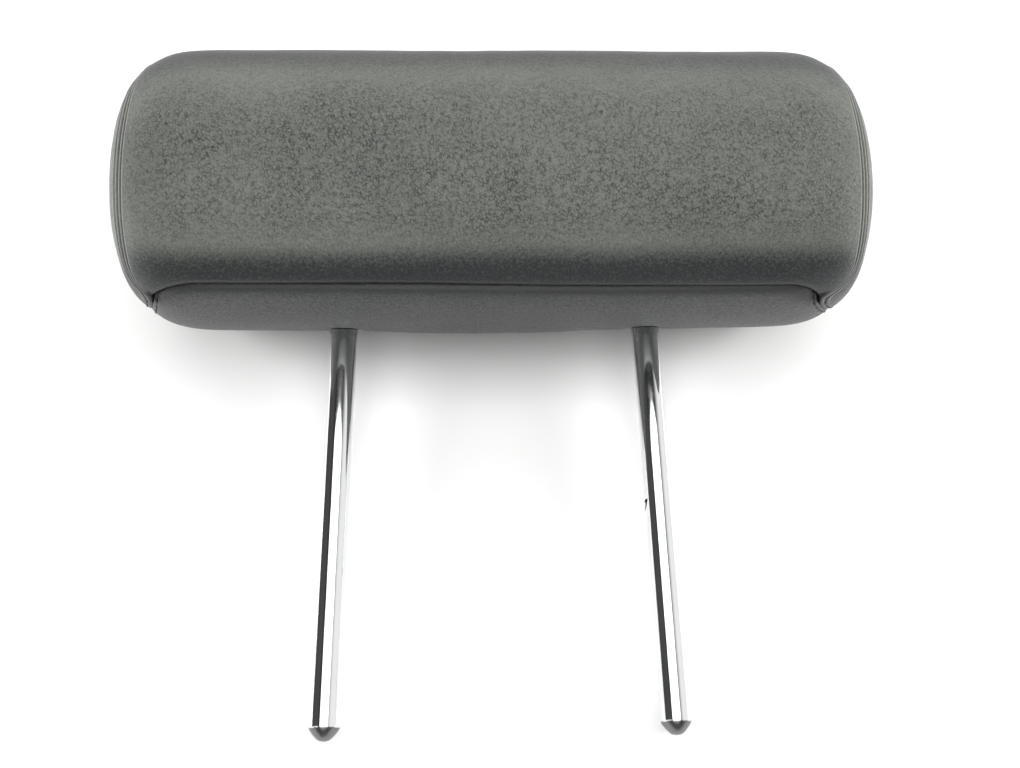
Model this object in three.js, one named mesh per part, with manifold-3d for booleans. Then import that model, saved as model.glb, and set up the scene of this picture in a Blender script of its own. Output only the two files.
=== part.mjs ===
// A car headrest: a leather covered foam roll on a bent steel tube whose two posts
// slide into the seat back. Millimetres, +Z up, the front of the roll faces -Y.
// The posts stand at y = 0 and the origin lies midway between their lower tips.
import * as THREE from "three";
import { mergeVertices } from "three/addons/utils/BufferGeometryUtils.js";
import Module from "manifold-3d";

const wasm = await Module();
wasm.setup();

// The roll, as it looks from outside
const PAD_LENGTH = 314; // end to end, along X
const PAD_HEIGHT = 125.6; // underside to top
const PAD_FRONT_DEPTH = 48.4; // from the fullest line of the roll to its front
const PAD_REAR_DEPTH = 63; // and to its rear
const PAD_FORWARD = 27.3; // how far that line lies in front of the posts
const PAD_SQUARENESS = 2.08; // 2 is an ellipse, more is squarer
const PAD_TAPER = 0.022; // share by which the section shrinks towards the ends
const SHOULDER_LENGTH = 44; // stretch that rounds over into each end
const SHOULDER_SQUARENESS = 3.9;

// The cover, sewn from four leather panels
const LEATHER = 1.8; // thickness
const SEAM_GAP = 0.4; // between two panels at a seam
const SEAM_DIP = 2.2; // how far a seam sinks below the leather beside it
const CLOSURE_DIP = 0.8; // the same at the closing seam, which is not sewn down
const SEAM_ROLL = 5; // stretch in which the leather rolls over into a seam
const END_SEAM_INSET = 8.2; // from the end of the roll to the end seam
const FRONT_SEAM_ANGLE = 249; // degrees round the section: 0 rear, 90 top, 180 front
const CORNER_SEAM_ANGLE = 259; // where the front seam meets the end seams
const CORNER_START = 0.72; // share of the length at which it bends towards them
const CORNER_PULL = 14; // how far it draws the end seam inwards there
const CORNER_SPREAD = 18; // degrees over which it draws
const CLOSURE_SEAM_ANGLE = 318;

// The steel tube: two posts, two bends and the bar that joins them inside the roll
const TUBE_DIAMETER = 12;
const TUBE_WALL = 2;
const POST_SPACING = 133; // centre to centre
const POST_FREE_LENGTH = 164.7; // tip to the underside of the roll
const BAR_HEIGHT = 80; // axis of the bar above that underside
const BEND_RADIUS = 25;
const TIP_HOLE = 1.6; // diameter of the hole left where each tip is closed
const NOTCH_HEIGHT = 94; // square shoulder of the locking notch above the tip
const NOTCH_DEPTH = 1.1;
const NOTCH_LENGTH = 5;
const NOTCH_SHOULDER = 0.8; // drop of the shoulder as it cuts in

// The plastic carrier, two half shells closed round the tube
const FIT = 0.3; // clearance between pieces that seat on each other
const CARRIER_LIFT = 33.3; // carrier above the underside of the roll
const CARRIER_WALL = 2.5;
const CARRIER_CORNER = 9;
const CARRIER_FRONT_DEPTH = 20; // from the parting plane, which holds the tube's axis
const CARRIER_REAR_DEPTH = 12;
const CARRIER_HEADROOM = 6; // between the bar and the top wall
const RIB = 2;
const UPRIGHT_RIBS = 4; // across the bar
const CROSS_RIB_PITCH = 20; // level ribs, measured down from the bar
const CROSS_RIBS = 2;
const BOSS_DIAMETER = 11;
const BOSS_FROM_TUBE = 2; // between a boss and the tube's seat
const BOSS_FROM_EDGE = 13; // from a boss's axis to the top or bottom of the carrier

// The four screws that hold the halves together
const SCREW_DIAMETER = 4;
const SCREW_LENGTH = 22;
const HEAD_DIAMETER = 8;
const HEAD_HEIGHT = 2.4;
const RECESS_WIDTH = 1; // cross recess in the head
const RECESS_LENGTH = 4.4;
const RECESS_DEPTH = 1.4;

// Collars that lead the posts through the foam
const COLLAR_WALL = 2.6;
const POST_CLEARANCE = 0.4; // round a post in its collar and in the leather

// The closure: a channel and a hook sewn to the two edges of the closing seam
const CLOSURE_LENGTH = 216;
const CLOSURE_WALL = 1.2;
const CLOSURE_SINK = 1.3; // below the inner face of the leather
const CLOSURE_LEG = 8; // flat leg that is sewn on
const CHANNEL_DEPTH = 6.3;
const CHANNEL_WIDTH = 6.2;
const CHANNEL_LIP = 4.1;
const HOOK_LIP = 4.1;
const CLOSURE_PLAY = 0.7; // between the hook and the channel

// Fineness of the facets
const ROUND = 16; // sides of the tube and what fits it
const SMALL_ROUND = 12; // sides of a boss, a screw and its holes
const BEND_STEPS = 6;
const TIP_STEPS = 4;
const WRAP_STEPS = 26; // round the main panel
const UNDER_STEPS = 6; // round the bottom panel
const SAME_POINT = 1e-4;

const halfLength = PAD_LENGTH / 2;
const padCentreZ = POST_FREE_LENGTH + PAD_HEIGHT / 2;
const shoulderX = halfLength - SHOULDER_LENGTH;
const endSeamX = halfLength - END_SEAM_INSET;
const tubeRadius = TUBE_DIAMETER / 2;
const seatRadius = tubeRadius + FIT;
const postX = POST_SPACING / 2;
const barZ = POST_FREE_LENGTH + BAR_HEIGHT;
const foamDepth = LEATHER + FIT;
const collarRadius = tubeRadius + POST_CLEARANCE + COLLAR_WALL;
const bossRadius = BOSS_DIAMETER / 2;
const bossX = postX + seatRadius + BOSS_FROM_TUBE + bossRadius;
const carrierHalfWidth = bossX + bossRadius + FIT + CARRIER_WALL;
const carrierBottom = POST_FREE_LENGTH + CARRIER_LIFT;
const carrierTop = barZ + seatRadius + CARRIER_HEADROOM + CARRIER_WALL;
const closureAngle = radians(CLOSURE_SEAM_ANGLE);

const leather = new THREE.MeshStandardMaterial({ color: 0x33363a, roughness: 0.5, metalness: 0 });
const chrome = new THREE.MeshStandardMaterial({ color: 0xd8dadc, roughness: 0.08, metalness: 1 });
const foam = new THREE.MeshStandardMaterial({ color: 0x8f8a7d, roughness: 0.95, metalness: 0 });
const plastic = new THREE.MeshStandardMaterial({ color: 0x1f2022, roughness: 0.6, metalness: 0 });
const steel = new THREE.MeshStandardMaterial({ color: 0xa9a08a, roughness: 0.35, metalness: 1 });

function radians(degrees) {
  return THREE.MathUtils.degToRad(degrees);
}

// Geometry from triangles given as three points each, turned so that it faces out.
class Faces {
  constructor() {
    this.triangles = [];
  }
  triangle(a, b, c) {
    const flat = [[a, b], [b, c], [c, a]].some(([p, q]) => p.distanceTo(q) < SAME_POINT);
    if (!flat) this.triangles.push([a, b, c]);
  }
  quad(a, b, c, d) {
    this.triangle(a, b, c);
    this.triangle(a, c, d);
  }
  // The faces between two rows of points, closed round where the rows are rings. Both
  // sides of a wall are split along the same diagonals, so that pieces nest evenly.
  strip(row, next, isRing, isBack = false) {
    const last = isRing ? row.length : row.length - 1;
    for (let i = 0; i < last; i++) {
      const j = (i + 1) % row.length;
      if (isBack) {
        this.triangle(row[i], next[j], row[j]);
        this.triangle(row[i], next[i], next[j]);
      } else this.quad(row[i], row[j], next[j], next[i]);
    }
  }
  geometry() {
    const volume = this.triangles.reduce((sum, [a, b, c]) => sum + a.dot(b.clone().cross(c)), 0);
    const points = this.triangles.flatMap(([a, b, c]) => (volume < 0 ? [a, c, b] : [a, b, c]));
    return mergeVertices(new THREE.BufferGeometry().setFromPoints(points), SAME_POINT);
  }
}

// A closed body lofted through rings of points; a ring of one repeated point is a tip.
function loft(rings, isLoop = false) {
  const faces = new Faces();
  for (let i = 0; i + 1 < rings.length; i++) faces.strip(rings[i], rings[i + 1], true);
  if (isLoop) faces.strip(rings[rings.length - 1], rings[0], true);
  return faces.geometry();
}

// A closed sheet between an outer and an inner grid of points.
function sheet(outer, inner, isRing) {
  const faces = new Faces();
  const last = outer.length - 1;
  for (let i = 0; i < last; i++) {
    faces.strip(outer[i], outer[i + 1], isRing);
    faces.strip(inner[i], inner[i + 1], isRing, true);
  }
  faces.strip(inner[0], outer[0], isRing);
  faces.strip(outer[last], inner[last], isRing);
  if (!isRing) {
    const edge = (grid, at) => grid.map((row) => row.at(at));
    faces.strip(edge(outer, 0), edge(inner, 0), false);
    faces.strip(edge(inner, -1), edge(outer, -1), false);
  }
  return faces.geometry();
}

// Booleans work on solids, and meshes are drawn from geometries.
function solid(geometry) {
  const bare = geometry.index ? geometry.clone() : geometry;
  bare.deleteAttribute("normal");
  bare.deleteAttribute("uv");
  const merged = mergeVertices(bare, SAME_POINT);
  const vertProperties = merged.attributes.position.array;
  const triVerts = new Uint32Array(merged.index.array);
  return new wasm.Manifold(new wasm.Mesh({ numProp: 3, vertProperties, triVerts }));
}

function drawn(body) {
  const { vertProperties, triVerts } = body.getMesh();
  const position = new THREE.BufferAttribute(new Float32Array(vertProperties), 3);
  const geometry = new THREE.BufferGeometry().setAttribute("position", position);
  return geometry.setIndex(new THREE.BufferAttribute(new Uint32Array(triVerts), 1));
}

function box(x0, x1, y0, y1, z0, z1) {
  const geometry = new THREE.BoxGeometry(x1 - x0, y1 - y0, z1 - z0);
  return solid(geometry.translate((x0 + x1) / 2, (y0 + y1) / 2, (z0 + z1) / 2));
}

function cylinder(radius, length, sides, place) {
  return solid(place(new THREE.CylinderGeometry(radius, radius, length, sides)));
}

// Half depth and half height of the section at an angle round it.
function outline(angle) {
  const across = Math.cos(angle);
  const up = Math.sin(angle);
  const n = PAD_SQUARENESS;
  const reach = (Math.abs(across) ** n + Math.abs(up) ** n) ** (-1 / n);
  const depth = across < 0 ? PAD_FRONT_DEPTH : PAD_REAR_DEPTH;
  return [depth * across * reach, (PAD_HEIGHT / 2) * up * reach];
}

function taper(x) {
  return 1 - PAD_TAPER * (x / halfLength) ** 2;
}

function shoulder(x) {
  return THREE.MathUtils.clamp((Math.abs(x) - shoulderX) / SHOULDER_LENGTH, 0, 1);
}

function sectionScale(x) {
  const m = SHOULDER_SQUARENESS;
  return taper(x) * (1 - shoulder(x) ** m) ** (1 / m);
}

// The place along X where the shoulder has shrunk the section to a given scale.
function shoulderPlace(scale) {
  let near = 0;
  let far = halfLength;
  while (far - near > SAME_POINT / 10) {
    const middle = (near + far) / 2;
    if (sectionScale(middle) > scale) near = middle;
    else far = middle;
  }
  return far;
}

// Outward direction of the roll's surface at a point of it.
function outward(x, y, z) {
  const n = PAD_SQUARENESS;
  const m = SHOULDER_SQUARENESS;
  const depth = y < 0 ? PAD_FRONT_DEPTH : PAD_REAR_DEPTH;
  const height = PAD_HEIGHT / 2;
  const across = Math.abs(y) / depth;
  const up = Math.abs(z) / height;
  const scale = (across ** n + up ** n) ** (1 / n);
  const steep = scale < SAME_POINT ? 0 : (scale / taper(x)) ** (m - 1) * scale ** (1 - n);
  const narrowing = (scale / taper(x)) ** m * 2 * PAD_TAPER * (Math.abs(x) / halfLength ** 2);
  return new THREE.Vector3(
    Math.sign(x) * (shoulder(x) ** (m - 1) / SHOULDER_LENGTH + narrowing),
    (Math.sign(y) * steep * across ** (n - 1)) / depth,
    (Math.sign(z) * steep * up ** (n - 1)) / height,
  ).normalize();
}

// A point on the roll at an angle round it and a place along it, or some depth below.
function padPoint(angle, x, depth = 0) {
  const scale = sectionScale(x);
  const [y, z] = outline(angle).map((half) => half * scale);
  const point = new THREE.Vector3(x, y - PAD_FORWARD, z + padCentreZ);
  return point.addScaledVector(outward(x, y, z), -depth);
}

// The end seams lie near the ends and are drawn inwards at the lower front corners.
function endSeam(angle) {
  const turn = 2 * Math.PI;
  const away = ((angle - radians(CORNER_SEAM_ANGLE)) % turn + turn + Math.PI) % turn - Math.PI;
  return endSeamX - CORNER_PULL * Math.exp(-((away / radians(CORNER_SPREAD)) ** 2));
}

// The front seam runs level below the front and turns down to the corners.
function frontSeam(share) {
  const bend = Math.max(Math.abs(share) - CORNER_START, 0) / (1 - CORNER_START);
  return radians(FRONT_SEAM_ANGLE + (CORNER_SEAM_ANGLE - FRONT_SEAM_ANGLE) * bend ** 2);
}

// How far the leather sinks at a distance from a seam.
function sink(distance, most) {
  return most * (1 - THREE.MathUtils.smoothstep(distance, 0, SEAM_ROLL));
}

function seamDip(angle, x) {
  const here = padPoint(angle, x);
  const seamX = endSeam(angle);
  const nearEnd = padPoint(angle, x < 0 ? -seamX : seamX);
  const atEnd = sink(here.distanceTo(nearEnd), SEAM_DIP);
  if (Math.abs(x) > seamX) return atEnd;
  const atFront = sink(here.distanceTo(padPoint(frontSeam(x / seamX), x)), SEAM_DIP);
  const atClosure = sink(here.distanceTo(padPoint(closureAngle, x)), CLOSURE_DIP);
  return Math.max(atEnd, atFront, atClosure);
}

function coverPoint(angle, x, depth) {
  return padPoint(angle, x, depth + seamDip(angle, x));
}

// Shares from 0 to 1 with close steps at both ends, where the seams are.
function sharesBetweenSeams(steps, length) {
  const close = [0, 0.3, 0.6, 1].map((part) => (part * SEAM_ROLL) / length);
  const first = close.at(-1);
  const wide = Array.from({ length: steps - 1 }, (_, i) => first + ((1 - 2 * first) * (i + 1)) / steps);
  return [...close, ...wide, ...close.map((share) => 1 - share).reverse()];
}

// Stations along the roll, as shares of the way to the end seams.
const rollShare = (0.65 * SEAM_ROLL) / endSeamX; // the shoulder slopes where it rolls over
const stations = [0.35, CORNER_START, 0.83, 0.91, 1 - rollShare, 1 - 0.6 * rollShare, 1 - 0.3 * rollShare, 1];
const alongShares = [...stations.map((share) => -share).reverse(), 0, ...stations];

const roundLength = Math.PI * PAD_HEIGHT;
const wrapLength = (roundLength * (360 + FRONT_SEAM_ANGLE - CLOSURE_SEAM_ANGLE)) / 360;
const underLength = (roundLength * (CLOSURE_SEAM_ANGLE - FRONT_SEAM_ANGLE)) / 360;
const halfGapAngle = SEAM_GAP / PAD_HEIGHT;

// Angles from seam to seam at one station: the main panel goes over the top.
function mainAngles(share) {
  const from = closureAngle - 2 * Math.PI + halfGapAngle;
  const to = frontSeam(share) - halfGapAngle;
  return sharesBetweenSeams(WRAP_STEPS, wrapLength).map((part) => from + (to - from) * part);
}

function bottomAngles(share) {
  const from = frontSeam(share) + halfGapAngle;
  const to = closureAngle - halfGapAngle;
  return sharesBetweenSeams(UNDER_STEPS, underLength).map((part) => from + (to - from) * part);
}

// A panel that runs from end seam to end seam.
function longPanel(anglesAt) {
  const grid = (depth) =>
    alongShares.map((share) =>
      anglesAt(share).map((angle) => coverPoint(angle, share * (endSeam(angle) - SEAM_GAP / 2), depth)),
    );
  return sheet(grid(0), grid(LEATHER), false);
}

// Rings of the end of the roll, from just outside its seam to the middle of its face.
const ringAngles = (share) => [...mainAngles(share), ...bottomAngles(share)];
const ringShares = [0, 0.03, 0.06, 0.1, 0.35, 0.7, 1];

function endRings(side, depth) {
  const rings = ringShares.map((share) =>
    ringAngles(1).map((angle) => {
      const edgeScale = sectionScale(endSeam(angle) + SEAM_GAP / 2);
      if (share === 1) return padPoint(0, side * halfLength, depth);
      return coverPoint(angle, side * shoulderPlace(edgeScale * (1 - share)), depth);
    }),
  );
  return side < 0 ? rings.reverse() : rings;
}

function endPanel(side) {
  return sheet(endRings(side, 0), endRings(side, LEATHER), true);
}

// The roll without its cover: the outside of the foam.
function foamOutside() {
  const alongRing = (share) =>
    ringAngles(share).map((angle) => coverPoint(angle, share * (endSeam(angle) - SEAM_GAP / 2), foamDepth));
  const rings = [
    ...endRings(-1, foamDepth),
    ...alongShares.map(alongRing),
    ...endRings(1, foamDepth),
  ];
  return solid(loft(rings));
}

// The tube's centre line as places with a direction, from the left tip to the right one.
function tubePath() {
  const path = [];
  const add = (x, z, turned) => path.push({ x, z, turned });
  add(-postX, 0, 0);
  for (let i = 0; i <= BEND_STEPS; i++) {
    const turned = ((Math.PI / 2) * i) / BEND_STEPS;
    const x = -postX + BEND_RADIUS * (1 - Math.cos(turned));
    add(x, barZ - BEND_RADIUS * (1 - Math.sin(turned)), turned);
  }
  return [...path, ...path.toReversed().map(({ x, z, turned }) => ({ x: -x, z, turned: Math.PI - turned }))];
}

// A ring round the tube's centre line.
function tubeRing({ x, z, turned }, radius) {
  return Array.from({ length: ROUND }, (_, i) => {
    const around = (2 * Math.PI * (i + 0.5)) / ROUND;
    const side = radius * Math.cos(around);
    return new THREE.Vector3(x - side * Math.cos(turned), radius * Math.sin(around), z + side * Math.sin(turned));
  });
}

// Rings that close a tip: a dome of the given radius left open at its middle.
function tipRings(x, radius, lift) {
  const open = Math.asin(TIP_HOLE / 2 / radius);
  return Array.from({ length: TIP_STEPS }, (_, i) => {
    const polar = open + ((Math.PI / 2 - open) * i) / TIP_STEPS;
    const turned = x < 0 ? 0 : Math.PI;
    return tubeRing({ x, z: lift + radius * (1 - Math.cos(polar)), turned }, radius * Math.sin(polar));
  });
}

// One wall of the tube: both tips and all that lies between them.
function tubeWall(radius, lift) {
  const between = tubePath().map((place) => {
    const z = place.z || lift + radius;
    return tubeRing({ ...place, z }, radius);
  });
  return [...tipRings(-postX, radius, lift), ...between, ...tipRings(postX, radius, lift).reverse()];
}

function postFrame() {
  const outer = tubeWall(tubeRadius, 0);
  const inner = tubeWall(tubeRadius - TUBE_WALL, TUBE_WALL);
  const tube = solid(loft([...outer, ...inner.reverse()], true));
  return drawn(tube.subtract(notchCutter()));
}

// The locking notch: a square shoulder above and a ramp that runs out below.
function notchCutter() {
  const face = postX - tubeRadius;
  const out = face - tubeRadius;
  const shape = new THREE.Shape();
  shape.moveTo(out, NOTCH_HEIGHT);
  shape.lineTo(face, NOTCH_HEIGHT);
  shape.lineTo(face + NOTCH_DEPTH, NOTCH_HEIGHT - NOTCH_SHOULDER);
  shape.lineTo(face, NOTCH_HEIGHT - NOTCH_LENGTH);
  shape.lineTo(out, NOTCH_HEIGHT - NOTCH_LENGTH);
  return plate(shape, -tubeRadius, tubeRadius);
}

// The tube without its bore, for cutting its seat: it runs on below the tips.
function tubeSeat() {
  const rings = tubePath().map((place) => tubeRing({ ...place, z: place.z || -TUBE_DIAMETER }, seatRadius));
  const cap = (ring) => ring.map(() => ring.reduce((sum, p) => sum.add(p), new THREE.Vector3()).divideScalar(ROUND));
  return solid(loft([cap(rings[0]), ...rings, cap(rings.at(-1))]));
}

// A shape drawn in x and z, as thick as from y0 to y1.
function plate(shape, y0, y1) {
  const geometry = new THREE.ExtrudeGeometry(shape, { depth: y1 - y0, bevelEnabled: false, curveSegments: 4 });
  return solid(geometry.rotateX(Math.PI / 2).translate(0, y1, 0));
}

// The carrier's outline in x and z, grown by a margin.
function carrierShape(margin) {
  const x = carrierHalfWidth + margin;
  const low = carrierBottom - margin;
  const high = carrierTop + margin;
  const r = CARRIER_CORNER + margin;
  const shape = new THREE.Shape();
  shape.moveTo(r - x, low);
  shape.lineTo(x - r, low);
  shape.absarc(x - r, low + r, r, -Math.PI / 2, 0);
  shape.lineTo(x, high - r);
  shape.absarc(x - r, high - r, r, 0, Math.PI / 2);
  shape.lineTo(r - x, high);
  shape.absarc(r - x, high - r, r, Math.PI / 2, Math.PI);
  shape.lineTo(-x, low + r);
  shape.absarc(r - x, low + r, r, Math.PI, Math.PI * 1.5);
  return shape;
}

const bossPlaces = [-bossX, bossX].flatMap((x) =>
  [carrierBottom + BOSS_FROM_EDGE, carrierTop - BOSS_FROM_EDGE].map((z) => [x, z]),
);

function alongY(x, y, z) {
  return (geometry) => geometry.translate(x, y, z);
}

// One half of the carrier: a ribbed tray whose open side meets the parting plane.
function carrierHalf(side, depth) {
  const parting = (side * FIT) / 2;
  const floor = side * depth;
  const span = (a, b) => [Math.min(a, b), Math.max(a, b)];
  const tray = plate(carrierShape(0), ...span(parting, floor));
  const pocket = plate(carrierShape(-CARRIER_WALL), ...span(0, floor - side * CARRIER_WALL));
  let half = tray.subtract(pocket);
  const [low, high] = span(parting, floor - (side * CARRIER_WALL) / 2);
  const inside = carrierHalfWidth - CARRIER_WALL / 2;
  const bottom = carrierBottom + CARRIER_WALL / 2;
  const top = carrierTop - CARRIER_WALL / 2;
  for (let i = 0; i < UPRIGHT_RIBS; i++) {
    const x = (postX - BEND_RADIUS) * ((2 * i) / (UPRIGHT_RIBS - 1) - 1);
    half = half.add(box(x - RIB / 2, x + RIB / 2, low, high, bottom, top));
  }
  for (let i = 1; i <= CROSS_RIBS; i++) {
    const z = barZ - i * CROSS_RIB_PITCH;
    half = half.add(box(-inside, inside, low, high, z - RIB / 2, z + RIB / 2));
  }
  const middle = (low + high) / 2;
  for (const [x, z] of bossPlaces) {
    half = half.add(cylinder(bossRadius, high - low, SMALL_ROUND, alongY(x, middle, z)));
  }
  return half.subtract(tubeSeat());
}

const screwSeat = CARRIER_REAR_DEPTH - HEAD_HEIGHT - FIT; // underside of the heads
const holeRadius = SCREW_DIAMETER / 2 + FIT;
const sunkRadius = HEAD_DIAMETER / 2 + FIT;

function carrierFront() {
  let half = carrierHalf(-1, CARRIER_FRONT_DEPTH);
  const tip = screwSeat - SCREW_LENGTH;
  for (const [x, z] of bossPlaces) {
    half = half.subtract(cylinder(holeRadius, FIT - tip, SMALL_ROUND, alongY(x, (tip - FIT) / 2, z)));
  }
  return drawn(half);
}

function carrierRear() {
  let half = carrierHalf(1, CARRIER_REAR_DEPTH);
  for (const [x, z] of bossPlaces) {
    const hole = cylinder(holeRadius, 2 * CARRIER_REAR_DEPTH, SMALL_ROUND, alongY(x, 0, z));
    const place = alongY(x, screwSeat - FIT + HEAD_HEIGHT, z);
    half = half.subtract(hole).subtract(cylinder(sunkRadius, 2 * HEAD_HEIGHT, SMALL_ROUND, place));
  }
  return drawn(half);
}

// A pan head screw along Y, its head to the rear, with a cross recess.
function screw() {
  const r = SCREW_DIAMETER / 2;
  const head = HEAD_DIAMETER / 2;
  const profile = [
    [0, -SCREW_LENGTH],
    [r, r - SCREW_LENGTH],
    [r, 0],
    [head, 0],
    [head, HEAD_HEIGHT / 2],
    [head * 0.75, HEAD_HEIGHT * 0.9],
    [0, HEAD_HEIGHT],
  ].map(([radius, y]) => new THREE.Vector2(radius, y));
  const turned = solid(new THREE.LatheGeometry(profile, SMALL_ROUND));
  const half = RECESS_LENGTH / 2;
  const slim = RECESS_WIDTH / 2;
  const floor = HEAD_HEIGHT - RECESS_DEPTH;
  const cross = box(-half, half, floor, 2 * HEAD_HEIGHT, -slim, slim)
    .add(box(-slim, slim, floor, 2 * HEAD_HEIGHT, -half, half));
  return drawn(turned.subtract(cross));
}

// A collar round a post, cut below to the inside of the leather.
function collar(x, envelope) {
  const profile = [
    [collarRadius - COLLAR_WALL, 0],
    [collarRadius, 0],
    [collarRadius, carrierBottom - FIT],
    [collarRadius - COLLAR_WALL, carrierBottom - FIT],
    [collarRadius - COLLAR_WALL, 0],
  ].map(([radius, z]) => new THREE.Vector2(radius, z));
  const ring = new THREE.LatheGeometry(profile, ROUND).rotateX(Math.PI / 2).translate(x, 0, 0);
  return drawn(solid(ring).intersect(envelope));
}

// A strip along X whose profile is drawn at the closing seam: u along the leather
// towards the rear of the roll, v inwards from the leather's inner face. The strip is
// straight and the roll tapers, so it lies as deep as its ends need.
function closureStrip(profile, length) {
  const middle = padPoint(closureAngle, 0, LEATHER);
  const inwards = middle.clone().sub(padPoint(closureAngle, 0)).normalize();
  const seam = padPoint(closureAngle, CLOSURE_LENGTH / 2, LEATHER).setX(0);
  const along = new THREE.Vector3(0, inwards.z, -inwards.y);
  const shape = new THREE.Shape(profile.map(([u, v]) => new THREE.Vector2(u, v)));
  const geometry = new THREE.ExtrudeGeometry(shape, { depth: length, bevelEnabled: false });
  const turn = new THREE.Matrix4().makeBasis(along, inwards, new THREE.Vector3(1, 0, 0));
  turn.setPosition(seam.addScaledVector(new THREE.Vector3(1, 0, 0), -length / 2));
  return geometry.applyMatrix4(turn);
}

const wall = CLOSURE_WALL;
const channelStart = -CHANNEL_WIDTH / 2;
const channelEnd = CHANNEL_WIDTH / 2;
const channelFloor = CLOSURE_SINK + CHANNEL_DEPTH;
const hookStart = channelEnd - wall - CLOSURE_PLAY - wall;

// Sewn to the bottom panel: a leg, and a channel that reaches under the seam.
const channelProfile = [
  [channelStart + wall - CLOSURE_LEG, CLOSURE_SINK],
  [channelStart + wall, CLOSURE_SINK],
  [channelStart + wall, channelFloor - wall],
  [channelEnd - wall, channelFloor - wall],
  [channelEnd - wall, channelFloor - CHANNEL_LIP],
  [channelEnd, channelFloor - CHANNEL_LIP],
  [channelEnd, channelFloor],
  [channelStart, channelFloor],
  [channelStart, CLOSURE_SINK + wall],
  [channelStart + wall - CLOSURE_LEG, CLOSURE_SINK + wall],
];

// Sewn to the main panel: a leg whose lip drops into that channel.
const hookProfile = [
  [hookStart, CLOSURE_SINK],
  [hookStart + CLOSURE_LEG, CLOSURE_SINK],
  [hookStart + CLOSURE_LEG, CLOSURE_SINK + wall],
  [hookStart + wall, CLOSURE_SINK + wall],
  [hookStart + wall, CLOSURE_SINK + HOOK_LIP],
  [hookStart, CLOSURE_SINK + HOOK_LIP],
];

// The groove in the foam that leaves room for both.
function closureGroove() {
  const from = channelStart + wall - CLOSURE_LEG - FIT;
  const to = hookStart + CLOSURE_LEG + FIT;
  const floor = channelFloor + FIT;
  const profile = [[from, -SEAM_ROLL], [to, -SEAM_ROLL], [to, floor], [from, floor]];
  return solid(closureStrip(profile, CLOSURE_LENGTH + 2 * FIT));
}

function foamPad(envelope) {
  const cavity = plate(carrierShape(FIT), -CARRIER_FRONT_DEPTH - FIT, CARRIER_REAR_DEPTH + FIT);
  let pad = envelope.subtract(cavity).subtract(closureGroove());
  for (const x of [-postX, postX]) {
    const upright = (geometry) => geometry.rotateX(Math.PI / 2).translate(x, 0, carrierBottom / 2);
    pad = pad.subtract(cylinder(collarRadius + FIT, carrierBottom + FIT, ROUND, upright));
  }
  return drawn(pad);
}

function bottomPanel() {
  let panel = solid(longPanel(bottomAngles));
  for (const x of [-postX, postX]) {
    const upright = (geometry) => geometry.rotateX(Math.PI / 2).translate(x, 0, carrierBottom / 2);
    panel = panel.subtract(cylinder(tubeRadius + POST_CLEARANCE, carrierBottom, ROUND, upright));
  }
  return drawn(panel);
}

const headrest = new THREE.Group();

function add(name, geometry, material, parent = headrest) {
  const mesh = new THREE.Mesh(geometry, material);
  mesh.name = name;
  parent.add(mesh);
  return mesh;
}

const envelope = foamOutside();

const cover = new THREE.Group();
headrest.add(cover);
add("cover_main_panel", longPanel(mainAngles), leather, cover);
add("cover_bottom_panel", bottomPanel(), leather, cover);
add("cover_end_left", endPanel(-1), leather, cover);
add("cover_end_right", endPanel(1), leather, cover);
add("closure_channel", closureStrip(channelProfile, CLOSURE_LENGTH), plastic, cover);
add("closure_hook", closureStrip(hookProfile, CLOSURE_LENGTH), plastic, cover);

add("foam_pad", foamPad(envelope), foam);
add("post_frame", postFrame(), chrome);

const carrier = new THREE.Group();
headrest.add(carrier);
add("carrier_front", carrierFront(), plastic, carrier);
add("carrier_rear", carrierRear(), plastic, carrier);
bossPlaces.forEach(([x, z], i) => {
  add("carrier_screw_" + (i + 1), screw(), steel, carrier).position.set(x, screwSeat, z);
});
add("post_collar_left", collar(-postX, envelope), plastic, carrier);
add("post_collar_right", collar(postX, envelope), plastic, carrier);

export default headrest;
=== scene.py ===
import math

import bpy
import numpy as np
from mathutils import Matrix, Vector
from mathutils.bvhtree import BVHTree


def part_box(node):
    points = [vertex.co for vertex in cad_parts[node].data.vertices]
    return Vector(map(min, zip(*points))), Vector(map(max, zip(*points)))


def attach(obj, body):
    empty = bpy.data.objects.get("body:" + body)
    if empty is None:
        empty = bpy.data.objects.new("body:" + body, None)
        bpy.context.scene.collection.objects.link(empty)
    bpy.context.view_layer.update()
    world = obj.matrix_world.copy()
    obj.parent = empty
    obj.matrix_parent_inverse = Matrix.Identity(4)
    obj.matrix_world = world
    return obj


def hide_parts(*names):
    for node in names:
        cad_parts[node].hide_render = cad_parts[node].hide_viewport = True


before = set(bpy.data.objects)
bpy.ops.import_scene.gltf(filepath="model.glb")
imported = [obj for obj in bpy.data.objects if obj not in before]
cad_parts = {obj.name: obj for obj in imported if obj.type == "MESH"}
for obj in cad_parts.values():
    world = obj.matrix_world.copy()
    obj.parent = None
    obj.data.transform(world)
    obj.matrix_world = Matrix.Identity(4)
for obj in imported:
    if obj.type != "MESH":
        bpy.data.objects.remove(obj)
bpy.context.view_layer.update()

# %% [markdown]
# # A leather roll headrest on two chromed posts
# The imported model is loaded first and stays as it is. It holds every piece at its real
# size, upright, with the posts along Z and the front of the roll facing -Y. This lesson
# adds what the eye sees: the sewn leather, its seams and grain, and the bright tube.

MM = 0.001

# %% [markdown]
# ## The camera
# The roll lies on its back on a white sheet and is seen from its post end, from a hand's
# reach away. Two things fix such a view: the posts, which are parallel, so the way they
# spread in the picture gives the distance and the tilt, and the picture's edges, which
# give the lens. In the frame of the upright headrest that is a camera in front of and
# below it, looking up. A turn about its own axis levels the roll as it lies.

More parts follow.
